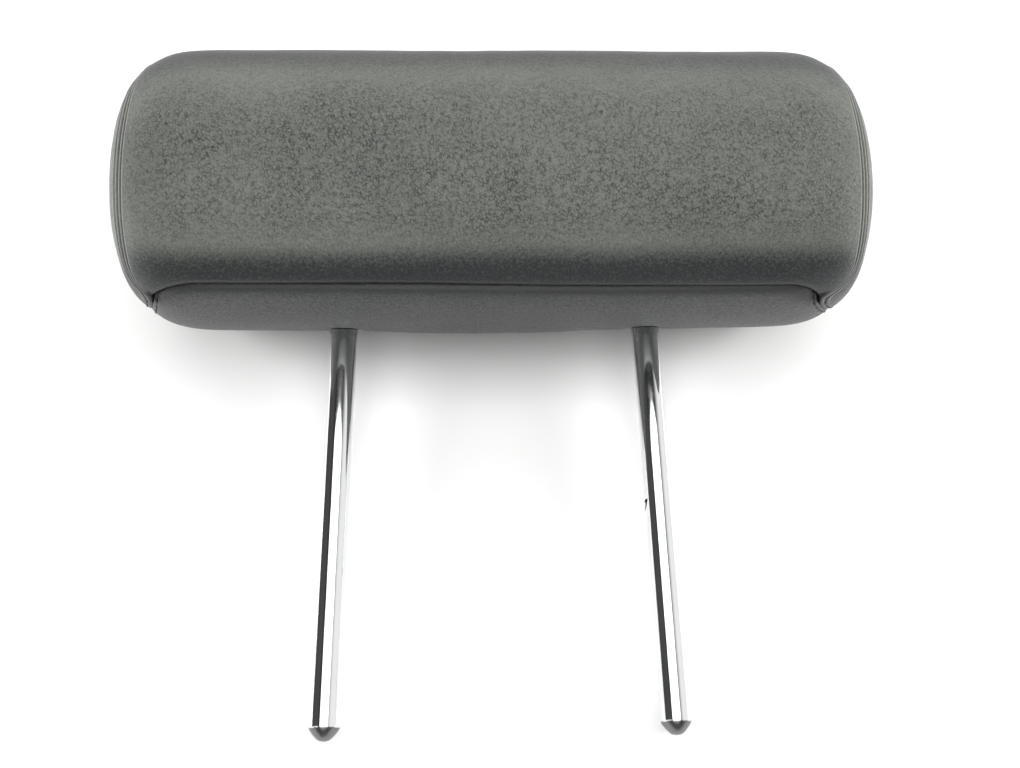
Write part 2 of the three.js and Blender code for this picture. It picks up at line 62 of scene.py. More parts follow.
# %% Camera
VIEW_FROM = Vector((-7.4, -397.5, -25.0)) * MM
LOOK_UP = math.radians(23.09)
LOOK_ASIDE = math.radians(-1.94)
LEAN = math.radians(-1.2)
LENS = 35.29
SENSOR = 36

bpy.ops.object.camera_add()
camera = bpy.context.object
camera.name = "camera"
camera.data.lens = LENS
camera.data.sensor_width = SENSOR
camera.data.clip_start = 0.01
camera.matrix_world = (
    Matrix.Translation(VIEW_FROM)
    @ Matrix.Rotation(LOOK_ASIDE, 4, "Z")
    @ Matrix.Rotation(math.pi / 2 + LOOK_UP, 4, "X")
    @ Matrix.Rotation(LEAN, 4, "Z")
)
bpy.context.scene.camera = camera
bpy.context.scene.view_settings.view_transform = "Standard"
print("camera", [round(c / MM) for c in camera.location], "mm")

# %% [markdown]
# ## Sizes
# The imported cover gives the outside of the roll. The rest are the few numbers that the
# roll's surface is made from: the section is an ellipse drawn slightly square, fuller in
# front than the line that the posts stand on, and it rounds over into the two ends.

# %% Sizes of the roll, from the frame and in metres
main_low, main_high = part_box("cover_main_panel")
under_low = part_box("cover_bottom_panel")[0]
end_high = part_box("cover_end_right")[1]
post_low, post_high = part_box("post_frame")

HALF_LENGTH = end_high.x
BOTTOM = under_low.z
TOP = main_high.z
FORWARD = -27.3 * MM
FRONT_DEPTH = FORWARD - main_low.y
REAR_DEPTH = main_high.y - FORWARD
HALF_HEIGHT = (TOP - BOTTOM) / 2
CENTRE_Z = (TOP + BOTTOM) / 2
SQUARENESS = 2.08
TAPER = 0.022
SHOULDER = 44 * MM
SHOULDER_SQUARENESS = 3.9
END_SEAM = HALF_LENGTH - 8.2 * MM
FRONT_SEAM = math.radians(251.8)
SEAM_RISE = math.radians(1.3)
SEAM_RISE_LENGTH = 50 * MM
CORNER_SEAM = math.radians(263)
CLOSURE_SEAM = math.radians(318)
CORNER_START = (0.81, 0.86)  # left and right, as shares of the way to the corner
SEAM_BEND = 2.8
CORNER_PULL = (7.5 * MM, 14 * MM)
FRONT_SPREAD = math.radians(8.5)
UNDER_SPREAD = math.radians(18)
LEATHER = 1.3 * MM
POST_X = (post_high.x - post_low.x) / 2 - 6 * MM
TUBE_RADIUS = 6 * MM
print("roll", round(2 * HALF_LENGTH / MM), "long,", round(2 * HALF_HEIGHT / MM), "high")

# %% [markdown]
# ## Stage and light
# The sheet that the headrest lies on runs close behind the back of the roll and the tips of
# the posts, with a small gap so that neither cuts into it, and so it leans back a little
# behind the upright part. It is a plain white surface that shows only from its front: from
# behind it lets everything through, so the rear of the headrest can be looked at too. To
# the camera and in the chrome it is a little whiter than in the light that it throws on
# the leather, so that the ground is white and the shadows on it stay soft.

# %% Stage
LEAN_BACK = math.atan2(main_high.y - TUBE_RADIUS, CENTRE_Z)
SHEET_SIZE = 6.0
SHEET_GAP = 1.5 * MM
SHEET_COLOUR = (0.80, 0.80, 0.79, 1)
SHEET_SEEN = (0.96, 0.96, 0.955, 1)


def new_material(name):
    material = bpy.data.materials.new(name)
    material.use_nodes = True
    material.node_tree.nodes.clear()
    return material, material.node_tree.nodes, material.node_tree.links


def sheet_material():
    """A white that shows its front alone: its back lets every ray through."""
    material, nodes, links = new_material("white sheet")
    out = nodes.new("ShaderNodeOutputMaterial")
    one_side = nodes.new("ShaderNodeMixShader")
    white = nodes.new("ShaderNodeBsdfDiffuse")
    seen = nodes.new("ShaderNodeMix")
    seen.data_type = "RGBA"
    seen.inputs["A"].default_value = SHEET_COLOUR
    seen.inputs["B"].default_value = SHEET_SEEN
    ray = nodes.new("ShaderNodeLightPath")
    either = nodes.new("ShaderNodeMath")
    either.operation = "MAXIMUM"
    links.new(ray.outputs["Is Camera Ray"], either.inputs[0])
    links.new(ray.outputs["Is Glossy Ray"], either.inputs[1])
    links.new(either.outputs[0], seen.inputs["Factor"])
    links.new(seen.outputs["Result"], white.inputs["Color"])
    clear = nodes.new("ShaderNodeBsdfTransparent")
    geometry = nodes.new("ShaderNodeNewGeometry")
    links.new(geometry.outputs["Backfacing"], one_side.inputs["Fac"])
    links.new(white.outputs[0], one_side.inputs[1])
    links.new(clear.outputs[0], one_side.inputs[2])
    links.new(one_side.outputs[0], out.inputs["Surface"])
    return material


bpy.ops.mesh.primitive_plane_add(size=SHEET_SIZE)
white_sheet = bpy.context.object
white_sheet.name = "white_sheet"
touch = Vector((0, TUBE_RADIUS + SHEET_GAP, 0))
white_sheet.data.transform(
    Matrix.Translation(touch)
    @ Matrix.Rotation(-LEAN_BACK, 4, "X")
    @ Matrix.Rotation(math.pi / 2, 4, "X")
)
white_sheet.data.materials.append(sheet_material())

# %% [markdown]
# ## The room
# A shiny tube shows the room round it: the lit ceiling in the middle, darker walls beside
# that, and the white sheet at its edges. So the room is not evenly bright. The ceiling
# lies in front of the sheet, towards -Y. The side walls and the far wall are bright, the
# left wall is broken by a dark gap, and the room is darkest where the onlooker stands.
# Rectangular lamps do the lighting: two for the ceiling, a low card that only the shine
# of the posts and of the leather sees, and one at each side that softens the shadows and
# stays out of the reflections.

# %% Room light
CEILING_LIGHT = 0.03
WALL_DARK = 0.02
RIGHT_WALL = 0.9
LEFT_WALL = 1.1
FAR_WALL = 0.9
WALL_TO_CEILING = (0.15, 0.75)  # these pairs are shares of the way out from the middle
RIGHT_WALL_FROM = (0.35, 0.8)
LEFT_WALL_FROM = (-0.8, -0.45)
FAR_WALL_FROM = (0.45, 0.9)
GAP_MIDDLE = 0.16
GAP_EDGE = (0.30, 0.42)
GAP_LIGHT = 0.04
ONLOOKER = Vector((0, -0.25, -0.97))
ONLOOKER_EDGE = (0.55, 0.85)
ONLOOKER_LIGHT = 0.06

world = bpy.data.worlds.new("room")
bpy.context.scene.world = world
world.use_nodes = True
world.node_tree.nodes.clear()


def slope(nodes, links, value, low, high, to_low, to_high):
    """A smooth step of a value."""
    node = nodes.new("ShaderNodeMapRange")
    node.interpolation_type = "SMOOTHSTEP"
    node.inputs["From Min"].default_value = low
    node.inputs["From Max"].default_value = high
    node.inputs["To Min"].default_value = to_low
    node.inputs["To Max"].default_value = to_high
    links.new(value, node.inputs["Value"])
    return node.outputs[0]


def maths(nodes, links, operation, first, second):
    node = nodes.new("ShaderNodeMath")
    node.operation = operation
    for socket, value in zip(node.inputs, (first, second)):
        if isinstance(value, (int, float)):
            socket.default_value = value
        else:
            links.new(value, socket)
    return node.outputs[0]


def room_brightness(nodes, links):
    way = nodes.new("ShaderNodeTexCoord").outputs["Generated"]
    split = nodes.new("ShaderNodeSeparateXYZ")
    links.new(way, split.inputs[0])
    height = maths(nodes, links, "MULTIPLY", split.outputs["Y"], -1.0)
    ceiling = slope(nodes, links, height, *WALL_TO_CEILING, WALL_DARK, CEILING_LIGHT)
    right = slope(nodes, links, split.outputs["X"], *RIGHT_WALL_FROM, 0.0, RIGHT_WALL)
    left = slope(nodes, links, split.outputs["X"], *LEFT_WALL_FROM, LEFT_WALL, 0.0)
    above_gap = maths(nodes, links, "SUBTRACT", split.outputs["Z"], GAP_MIDDLE)
    from_gap = maths(nodes, links, "ABSOLUTE", above_gap, 0.0)
    gap = slope(nodes, links, from_gap, *GAP_EDGE, GAP_LIGHT, 1.0)
    left = maths(nodes, links, "MULTIPLY", left, gap)
    far = slope(nodes, links, split.outputs["Z"], *FAR_WALL_FROM, 0.0, FAR_WALL)
    towards = nodes.new("ShaderNodeVectorMath")
    towards.operation = "DOT_PRODUCT"
    links.new(way, towards.inputs[0])
    towards.inputs[1].default_value = ONLOOKER
    shade = slope(nodes, links, towards.outputs["Value"], *ONLOOKER_EDGE, 1.0, ONLOOKER_LIGHT)
    walls = maths(nodes, links, "ADD", maths(nodes, links, "ADD", right, left), far)
    return maths(nodes, links, "MULTIPLY", maths(nodes, links, "ADD", ceiling, walls), shade)


def room_shader(nodes, links):
    """The room as light; to the camera itself it is plain white."""
    light = nodes.new("ShaderNodeBackground")
    links.new(room_brightness(nodes, links), light.inputs["Strength"])
    white = nodes.new("ShaderNodeBackground")
    either = nodes.new("ShaderNodeMixShader")
    out = nodes.new("ShaderNodeOutputWorld")
    for node in (light, white):
        node.inputs["Color"].default_value = (1, 1, 1, 1)
    links.new(nodes.new("ShaderNodeLightPath").outputs["Is Camera Ray"], either.inputs["Fac"])
    links.new(light.outputs[0], either.inputs[1])
    links.new(white.outputs[0], either.inputs[2])
    links.new(either.outputs[0], out.inputs["Surface"])


room_shader(world.node_tree.nodes, world.node_tree.links)


def soft_light(name, place, aim, size, power):
    """A rectangular lamp; its place, aim and size are in mm."""
    bpy.ops.object.light_add(type="AREA", location=Vector(place) * MM)
    lamp = bpy.context.object
    lamp.name = name
    lamp.data.shape = "RECTANGLE"
    lamp.data.size, lamp.data.size_y = (s * MM for s in size)
    lamp.data.energy = power
    towards = Vector(aim) * MM - lamp.location
    lamp.rotation_euler = towards.to_track_quat("-Z", "Y").to_euler()
    return lamp


soft_light("ceiling before", (0, -1000, -150), (0, 0, -150), (1150, 1360), 8.7)
low_card = soft_light("low card", (0, -1000, -1265), (0, 0, -1265), (1150, 870), 5.7)
low_card.visible_diffuse = False
soft_light("ceiling above", (0, -823, 1122), (0, -20, 230), (1150, 870), 2.2)
for side in (-1, 1):
    lamp = soft_light("side wall", (side * 900, -300, 240), (0, 20, 190), (520, 280), 6.5)
    lamp.visible_glossy = False
print("sheet leans back", round(math.degrees(LEAN_BACK), 1), "degrees")

# %% [markdown]
# ## Leather
# The cover is black leather with a soft sheen that has gone grey with use. Close up it is
# a pebbled grain: rounded cells about a millimetre wide, drawn out slantwise, with fine
# dark creases between them, strong where heads have leaned on it and nearly gone at the
# top, at the ends and under the roll. Cells and creases come from one Voronoi pattern,
# bent by a little noise so that no cell is regular and broken by another so that no crease
# runs on, and a slow noise thins both out in patches. The grain shows more by painted shade
# in its creases than by relief, because a strong relief would blur the sheen. Towards the
# top and on the lower front the leather is painted darker too, as shade besides wear. Two
# attributes that the panels carry, in_seam and on_ridge, paint shade with some dirt into
# the seams and a highlight with some wear onto the ridges beside them.

# %% Leather material
LEATHER_DARK = (0.014, 0.016, 0.018, 1)
LEATHER_WORN = (0.146, 0.155, 0.134, 1)
# Painted shade, with some dirt, deep in the seams.
SEAM_SHADE_AND_DIRT = (0.008, 0.009, 0.010, 1)
# Painted highlight, with some wear, on the ridges beside the seams.
RIDGE_HIGHLIGHT_AND_WEAR = (0.36, 0.37, 0.35, 1)
GRAIN_CELLS = 950  # to the metre, like the scale of each noise below
GRAIN_BEND = 0.7 * MM
BEND_NOISE = 330
BREAK_NOISE = 520
PATCH_NOISE = 24
WEAR_NOISE = 15
FINE_NOISE = 1000
PORE_NOISE = 1100
FINE_TONE = 0.16
PEBBLE_DEPTH = 0.6 * MM
GRAIN_DEPTH = 0.22 * MM
PORE_DEPTH = 0.2 * MM
CREASE_WIDTH = 0.20  # as a share of a cell
CREASE_SHADE = 0.72
LEFT_IN_BREAKS = 0.2
LEFT_IN_PATCHES = 0.82
GRAIN_SLANT = math.radians(-33)
GRAIN_STRETCH = 1.8
# Where heads lean the leather is worn grey; its fall towards the top and the lower front is also
# painted shade.
LEANED_ASIDE = (0.125, 0.155)  # these pairs are places in metres, along X and then along Z
LEANED_AND_SHADED_FROM = (0.170, 0.188)
LEANED_AND_SHADED_UP_TO = (0.225, 0.275)
LEANED_AT_ENDS = 0.5
LEANED_AND_SHADED_BELOW = 0.15
LEANED_AND_SHADED_ON_TOP = 0.22


def noise(nodes, links, vector, scale, detail=2.0, rough=0.5):
    node = nodes.new("ShaderNodeTexNoise")
    node.inputs["Scale"].default_value = scale
    node.inputs["Detail"].default_value = detail
    node.inputs["Roughness"].default_value = rough
    links.new(vector, node.inputs["Vector"])
    return node.outputs["Fac"]


def bump(nodes, links, height, distance, strength, normal=None):
    node = nodes.new("ShaderNodeBump")
    node.inputs["Distance"].default_value = distance
    links.new(height, node.inputs["Height"])
    if isinstance(strength, (int, float)):
        node.inputs["Strength"].default_value = strength
    else:
        links.new(strength, node.inputs["Strength"])
    if normal:
        links.new(normal, node.inputs["Normal"])
    return node.outputs["Normal"]


def blend_colour(nodes, links, share, first, second):
    node = nodes.new("ShaderNodeMix")
    node.data_type = "RGBA"
    node.clamp_factor = True
    node.inputs["A"].default_value = first
    node.inputs["B"].default_value = second
    links.new(share, node.inputs["Factor"])
    return node.outputs["Result"]


def towards_colour(nodes, links, share, colour, other):
    """A colour that goes over into another one by a share."""
    node = nodes.new("ShaderNodeMix")
    node.data_type = "RGBA"
    links.new(share, node.inputs["Factor"])
    links.new(colour, node.inputs["A"])
    node.inputs["B"].default_value = other
    return node.outputs["Result"]


def finish_material(name):
    """A material with one surface shader, and the place on the piece for its patterns."""
    material, nodes, links = new_material(name)
    out = nodes.new("ShaderNodeOutputMaterial")
    surface = nodes.new("ShaderNodeBsdfPrincipled")
    links.new(surface.outputs[0], out.inputs["Surface"])
    place = nodes.new("ShaderNodeTexCoord").outputs["Object"]
    return material, nodes, links, surface, place


def leaned_on_and_shade(nodes, links, place):
    """1 in the middle of the front, where heads lean, and 0 at the ends, top and bottom; towards
    the top and the lower front it also paints shade.
    """
    split = nodes.new("ShaderNodeSeparateXYZ")
    links.new(place, split.inputs[0])
    aside = maths(nodes, links, "ABSOLUTE", split.outputs["X"], 0.0)
    middle = slope(nodes, links, aside, *LEANED_ASIDE, 1.0, LEANED_AT_ENDS)
    above = slope(nodes, links, split.outputs["Z"], *LEANED_AND_SHADED_FROM, LEANED_AND_SHADED_BELOW, 1.0)
    below = slope(nodes, links, split.outputs["Z"], *LEANED_AND_SHADED_UP_TO, 1.0, LEANED_AND_SHADED_ON_TOP)
    return maths(nodes, links, "MULTIPLY", maths(nodes, links, "MULTIPLY", middle, above), below)


def leather_material(name, least_grain, polish, spread, least_wear_and_shade):
    """Pebbled leather, from its least grain, strength and spread of shine, and least wear, where
    the painted shade is darkest.
    """
    material, nodes, links, skin, place = finish_material(name)
    drawn = nodes.new("ShaderNodeMapping")
    drawn.vector_type = "TEXTURE"
    drawn.inputs["Rotation"].default_value = (0, GRAIN_SLANT, 0)
    drawn.inputs["Scale"].default_value = (1, 1, GRAIN_STRETCH)
    links.new(place, drawn.inputs["Vector"])
    bend = nodes.new("ShaderNodeTexNoise")
    bend.inputs["Scale"].default_value = BEND_NOISE
    links.new(place, bend.inputs["Vector"])
    shift = nodes.new("ShaderNodeVectorMath")
    shift.operation = "MULTIPLY_ADD"
    links.new(bend.outputs["Color"], shift.inputs[0])
    shift.inputs[1].default_value = (GRAIN_BEND,) * 3
    links.new(drawn.outputs[0], shift.inputs[2])
    edges = nodes.new("ShaderNodeTexVoronoi")
    edges.feature = "DISTANCE_TO_EDGE"
    cells = nodes.new("ShaderNodeTexVoronoi")
    cells.feature = "SMOOTH_F1"
    for node in (edges, cells):
        node.inputs["Scale"].default_value = GRAIN_CELLS
        links.new(shift.outputs[0], node.inputs["Vector"])
    crease = slope(nodes, links, edges.outputs["Distance"], 0.0, CREASE_WIDTH, 1.0, 0.0)
    breaks = noise(nodes, links, place, BREAK_NOISE, 1)
    broken = slope(nodes, links, breaks, 0.32, 0.60, LEFT_IN_BREAKS, 1.0)
    crease = maths(nodes, links, "MULTIPLY", crease, broken)

    patches = noise(nodes, links, place, PATCH_NOISE, 3)
    patch = slope(nodes, links, patches, 0.34, 0.62, LEFT_IN_PATCHES, 1.0)
    worn_and_shaded = leaned_on_and_shade(nodes, links, place)
    grainy = maths(nodes, links, "MAXIMUM", maths(nodes, links, "POWER", worn_and_shaded, 1.6), least_grain)
    strength = maths(nodes, links, "MULTIPLY", patch, grainy)

    pebbled = maths(nodes, links, "MULTIPLY", strength, 0.8)
    pebble = bump(nodes, links, cells.outputs["Distance"], PEBBLE_DEPTH, pebbled)
    low = maths(nodes, links, "SUBTRACT", 1.0, crease)
    creased = maths(nodes, links, "MULTIPLY", strength, 0.9)
    grain = bump(nodes, links, low, GRAIN_DEPTH, creased, pebble)
    pored = noise(nodes, links, place, PORE_NOISE, 3, 0.6)
    pores = bump(nodes, links, pored, PORE_DEPTH, 0.8, grain)
    links.new(pores, skin.inputs["Normal"])

    cloudy = noise(nodes, links, place, WEAR_NOISE, 4, 0.6)
    wear = slope(nodes, links, cloudy, 0.36, 0.66, 0.82, 1.03)
    # Painted shade as well as wear: the tone falls where the mask falls, towards the top and on the
    # lower front.
    wear_and_shade_here = slope(nodes, links, worn_and_shaded, 0.15, 0.7, least_wear_and_shade, 1.0)
    wear = maths(nodes, links, "MULTIPLY", wear, wear_and_shade_here)
    grit = noise(nodes, links, place, FINE_NOISE, 2)
    fine = slope(nodes, links, grit, 0.3, 0.7, -FINE_TONE, FINE_TONE)
    # Painted shade in the grain's creases, standing in for a deeper relief.
    in_crease = maths(nodes, links, "MULTIPLY", crease, strength)
    darker = maths(nodes, links, "MULTIPLY", in_crease, CREASE_SHADE)
    tone = maths(nodes, links, "SUBTRACT", maths(nodes, links, "ADD", wear, fine), darker)
    leather = blend_colour(nodes, links, tone, LEATHER_DARK, LEATHER_WORN)
    seam = nodes.new("ShaderNodeAttribute")
    seam.attribute_name = "in_seam"
    ridge = nodes.new("ShaderNodeAttribute")
    ridge.attribute_name = "on_ridge"
    # Painted highlight, with some wear, on the ridges beside the seams.
    leather = towards_colour(nodes, links, ridge.outputs["Fac"], leather, RIDGE_HIGHLIGHT_AND_WEAR)
    # Painted shade, with some dirt, deep in the seams.
    leather = towards_colour(nodes, links, seam.outputs["Fac"], leather, SEAM_SHADE_AND_DIRT)
    links.new(leather, skin.inputs["Base Color"])
    rough = slope(nodes, links, tone, 0.0, 1.0, spread + 0.05, spread - 0.03)
    links.new(rough, skin.inputs["Roughness"])
    skin.inputs["Specular IOR Level"].default_value = polish
    return material


main_leather = leather_material("leather, worn front", 0.2, 0.46, 0.36, 0.04)
plain_leather = leather_material("leather, smooth", 0.4, 0.75, 0.40, 0.24)
print("leather materials", [m.name for m in (main_leather, plain_leather)])

# %% [markdown]
# ## The roll as a formula
# Every panel lies on one stuffed form, so the form comes first. A point on it is given by
# an angle round the section and a place along the roll, and the way out from the surface
# follows from the same formula. Numbers are arrays here, so that a whole panel is worked
# out at once.

# %% The surface of the roll


def taper(x):
    return 1 - TAPER * (x / HALF_LENGTH) ** 2


def shoulder(x):
    return np.clip((np.abs(x) - (HALF_LENGTH - SHOULDER)) / SHOULDER, 0, 1)


def section_scale(x):
    m = SHOULDER_SQUARENESS
    return taper(x) * np.maximum(1 - shoulder(x) ** m, 0) ** (1 / m)


def outline(angle):
    across, up = np.cos(angle), np.sin(angle)
    reach = (np.abs(across) ** SQUARENESS + np.abs(up) ** SQUARENESS) ** (-1 / SQUARENESS)
    depth = np.where(across < 0, FRONT_DEPTH, REAR_DEPTH)
    return depth * across * reach, HALF_HEIGHT * up * reach


def outward(x, y, z):
    n, m = SQUARENESS, SHOULDER_SQUARENESS
    depth = np.where(y < 0, FRONT_DEPTH, REAR_DEPTH)
    across, up = np.abs(y) / depth, np.abs(z) / HALF_HEIGHT
    scale = np.maximum((across**n + up**n) ** (1 / n), 1e-9)
    steep = (scale / taper(x)) ** (m - 1) * scale ** (1 - n)
    narrowing = (scale / taper(x)) ** m * 2 * TAPER * np.abs(x) / HALF_LENGTH**2
    way = np.stack([
        np.sign(x) * (shoulder(x) ** (m - 1) / SHOULDER + narrowing),
        np.sign(y) * steep * across ** (n - 1) / depth,
        np.sign(z) * steep * up ** (n - 1) / HALF_HEIGHT,
    ], axis=-1)
    return way / np.linalg.norm(way, axis=-1, keepdims=True)


def roll_surface(angle, x):
    """Points on the roll and the way out from each."""
    angle, x = np.broadcast_arrays(np.asarray(angle, float), np.asarray(x, float))
    scale = section_scale(x)
    y, z = (half * scale for half in outline(angle))
    return np.stack([x, y + FORWARD, z + CENTRE_Z], axis=-1), outward(x, y, z)


def angle_between(a, b):
    return np.abs((a - b + math.pi) % (2 * math.pi) - math.pi)


def by_side(side, pair):
    """The left or the right one of two values."""
    return np.where(np.asarray(side) < 0, pair[0], pair[1])


def end_seam(angle, side):
    """Where an end seam lies along X; at the lower front corner it is drawn inwards."""
    away = (angle - CORNER_SEAM + math.pi) % (2 * math.pi) - math.pi
    spread = np.where(away < 0, FRONT_SPREAD, UNDER_SPREAD)
    return END_SEAM - by_side(side, CORNER_PULL) * np.exp(-((away / spread) ** 2))


def front_seam_at(x):
    """The angle of the front seam at a place along X: it turns down into the corners."""
    start = by_side(x, CORNER_START)
    bend = np.maximum(np.abs(x) / (END_SEAM - by_side(x, CORNER_PULL)) - start, 0) / (1 - start)
    level = FRONT_SEAM + SEAM_RISE * (np.tanh(x / SEAM_RISE_LENGTH) - 1)
    return level + (CORNER_SEAM - level) * bend**SEAM_BEND


# Place along X for an even walk over the shoulder from the seam to the middle of an end.
walk_x = HALF_LENGTH * (1 - np.linspace(1, 0, 4000) ** 3)
walk_r = HALF_HEIGHT * section_scale(walk_x)
walk = np.concatenate([[0], np.cumsum(np.hypot(np.diff(walk_x), np.diff(walk_r)))])


def along(x):
    """Length over the surface from the middle of the roll to a place along X."""
    return np.interp(np.abs(x), walk_x, walk)


def place_at(length):
    return np.interp(length, walk, walk_x)


def front_seam_table(side):
    """For one half: the share of the way to the end seam, and the angle there."""
    x = side * np.linspace(0, float(END_SEAM - by_side(side, CORNER_PULL)), 400)
    angle = front_seam_at(x)
    return along(x) / along(end_seam(angle, side)), angle


front_left, front_right = front_seam_table(-1), front_seam_table(1)


def front_seam(share):
    left = np.interp(-share, *front_left)
    return np.where(share < 0, left, np.interp(share, *front_right))


print("from the middle over the shoulder to the pole", round(walk[-1] / MM), "mm")

# %% [markdown]
# ## Stuffing the form
# Leather pulled over foam is not a formula: it is held down at the seams and round the
# posts, and swells between them. So a slightly smaller roll is made from a sphere, given
# an even skin, pinned along its seams and blown up as cloth for twenty frames. A cap on
# the movement keeps the roll at its size.

# %% Cloth simulation of the stuffed form
START_INSET = 0.4 * MM
SWELL_MOST = 3.0 * MM
PIN_WIDTH = 3.0 * MM
VOXEL = 5 * MM
CLOTH_FRAMES = 20


def clear_selection():
    if bpy.context.object and bpy.context.object.mode != "OBJECT":
        bpy.ops.object.mode_set(mode="OBJECT")
    bpy.ops.object.select_all(action="DESELECT")


def pick(obj):
    clear_selection()
    obj.select_set(True)
    bpy.context.view_layer.objects.active = obj


def read_points(obj):
    flat = np.empty(len(obj.data.vertices) * 3)
    obj.data.vertices.foreach_get("co", flat)
    return flat.reshape(-1, 3)


def write_points(obj, points):
    obj.data.vertices.foreach_set("co", np.ascontiguousarray(points, float).ravel())
    obj.data.update()


def seam_distances(points):
    """Distance from each point of the roll to its nearest end, front and closing seam."""
    x, y, z = points[:, 0], points[:, 1] - FORWARD, points[:, 2] - CENTRE_Z
    depth = np.where(y < 0, FRONT_DEPTH, REAR_DEPTH)
    angle = np.arctan2(z / HALF_HEIGHT, y / depth)
    seam_x = end_seam(angle, x)
    to_end = np.abs(along(x) - along(seam_x))
    inside = np.abs(x) < seam_x
    radius = np.hypot(y, z)
    to_front = np.where(inside, angle_between(angle, front_seam_at(x)) * radius, 1)
    to_closure = np.where(inside, angle_between(angle, CLOSURE_SEAM) * radius, 1)
    to_post = np.hypot(np.abs(x) - POST_X, points[:, 1]) - TUBE_RADIUS
    to_post = np.where(z < 0, np.maximum(to_post, 0), 1)
    return to_end, to_front, to_closure, to_post


def stuffed_form():
    clear_selection()
    bpy.ops.mesh.primitive_uv_sphere_add(segments=128, ring_count=72, radius=1)
    form = bpy.context.object
    form.name = "stuffed_form"
    ball = read_points(form)
    polar = np.arccos(np.clip(ball[:, 2], -1, 1)) / math.pi * 2 - 1
    x = np.sign(polar) * place_at(np.abs(polar) * walk[-1])
    points, out = roll_surface(np.arctan2(ball[:, 1], ball[:, 0]), x)
    write_points(form, points - out * START_INSET)
    form.data.remesh_voxel_size = VOXEL
    bpy.ops.object.voxel_remesh()
    start = read_points(form)
    held = np.min(seam_distances(start), axis=0) < PIN_WIDTH
    pins = form.vertex_groups.new(name="seams")
    pins.add([int(i) for i in np.nonzero(held)[0]], 1.0, "REPLACE")
    return form, start


def blow_up(form, start):
    cloth = form.modifiers.new("stuffing", "CLOTH")
    cloth.settings.quality = 5
    cloth.settings.mass = 0.1
    cloth.settings.tension_stiffness = 2
    cloth.settings.compression_stiffness = 2
    cloth.settings.shear_stiffness = 0.8
    cloth.settings.bending_stiffness = 0.2
    cloth.settings.use_pressure = True
    cloth.settings.uniform_pressure_force = 4
    cloth.settings.vertex_group_mass = "seams"
    cloth.settings.effector_weights.gravity = 0
    cloth.collision_settings.use_collision = False
    for number in range(1, CLOTH_FRAMES + 1):
        bpy.context.scene.frame_set(number)
    pick(form)
    bpy.ops.object.modifier_apply(modifier=cloth.name)
    moved = read_points(form) - start
    far = np.linalg.norm(moved, axis=1, keepdims=True)
    write_points(form, start + moved * np.minimum(1, SWELL_MOST / np.maximum(far, 1e-9)))
    bpy.context.scene.frame_set(1)
    return far


form, form_start = stuffed_form()
far = blow_up(form, form_start)
print("swell", round(float(np.median(far)) / MM, 2), "mm")
print("most", round(float(far.max()) / MM, 2), "mm")
round_form = form.modifiers.new("rounding", "SUBSURF")
round_form.levels = round_form.render_levels = 1
pick(form)
bpy.ops.object.modifier_apply(modifier=round_form.name)
print("form", len(form.data.polygons), "faces")

# %% [markdown]
# ## Cutting and sewing the panels
# The real cover is four pieces of leather cut flat. Each starts here as a flat grid, with
# close steps along its edges where the seams are, and is laid round the roll. Shrinkwrap
# then presses it onto the stuffed form, which gives it the swell between the seams.

# %% Steps across a panel and the pressing onto the form
SEAM_GAP = 0.3 * MM
EDGE_ZONE = 6.5 * MM
EDGE_STEP = 0.36 * MM
WIDE_STEP = 2.3 * MM
GROWTH = 1.25
REACH = 14 * MM
SMOOTHINGS = 6


def steps_between_seams(length):
    """Shares from 0 to 1 along a length, close near both ends, which come twice."""
    places, step = [0.0], EDGE_STEP
    while places[-1] < length / 2:
        if places[-1] > EDGE_ZONE:
            step = min(step * GROWTH, WIDE_STEP)
        places.append(places[-1] + step)
    half = np.array(places) / places[-1] / 2
    return np.concatenate([[0], half[:-1], 1 - half[::-1], [1]])


def flat_grid(name, across, down):
    """A flat grid and, for each of its vertices, its column and row."""
    clear_selection()
    bpy.ops.mesh.primitive_grid_add(x_subdivisions=across, y_subdivisions=down, size=1)
    panel = bpy.context.object
    panel.name = name
    flat = read_points(panel) + 0.5
    return panel, np.rint(flat[:, 0] * across).astype(int), np.rint(flat[:, 1] * down).astype(int)


def press_on(panel, target, points, out, grid):
    """How far the panel swells: its distance from the formula once pressed on the form."""
    write_points(panel, points)
    wrap = panel.modifiers.new("press on", "SHRINKWRAP")
    wrap.target = target
    wrap.wrap_method = "NEAREST_SURFACEPOINT"
    pick(panel)
    bpy.ops.object.modifier_apply(modifier=wrap.name)
    swell = np.einsum("ij,ij->i", read_points(panel) - points, out)
    columns, rows = grid
    table = np.zeros((columns.max() + 1, rows.max() + 1))
    table[columns, rows] = np.clip(swell, -REACH, REACH)
    for _ in range(SMOOTHINGS):
        padded = np.pad(table, 1, mode="edge")
        beside = padded[:-2, 1:-1] + padded[2:, 1:-1] + padded[1:-1, :-2] + padded[1:-1, 2:]
        table = (beside + 4 * table) / 8
    return table[columns, rows]


# %% [markdown]
# ## How leather lies at a seam
# At the two ends the edges are turned under, sewn, and sewn again with a row of thread on
# each side of the seam. The rows press two shallow valleys into the leather and leave
# narrow ridges beside them. Below the lower front corner, where the bottom panel begins,
# groove, rows and ridges are faint. The seam below the front has no such rows: the main
# panel simply rolls over it, and the bottom panel comes out from underneath.

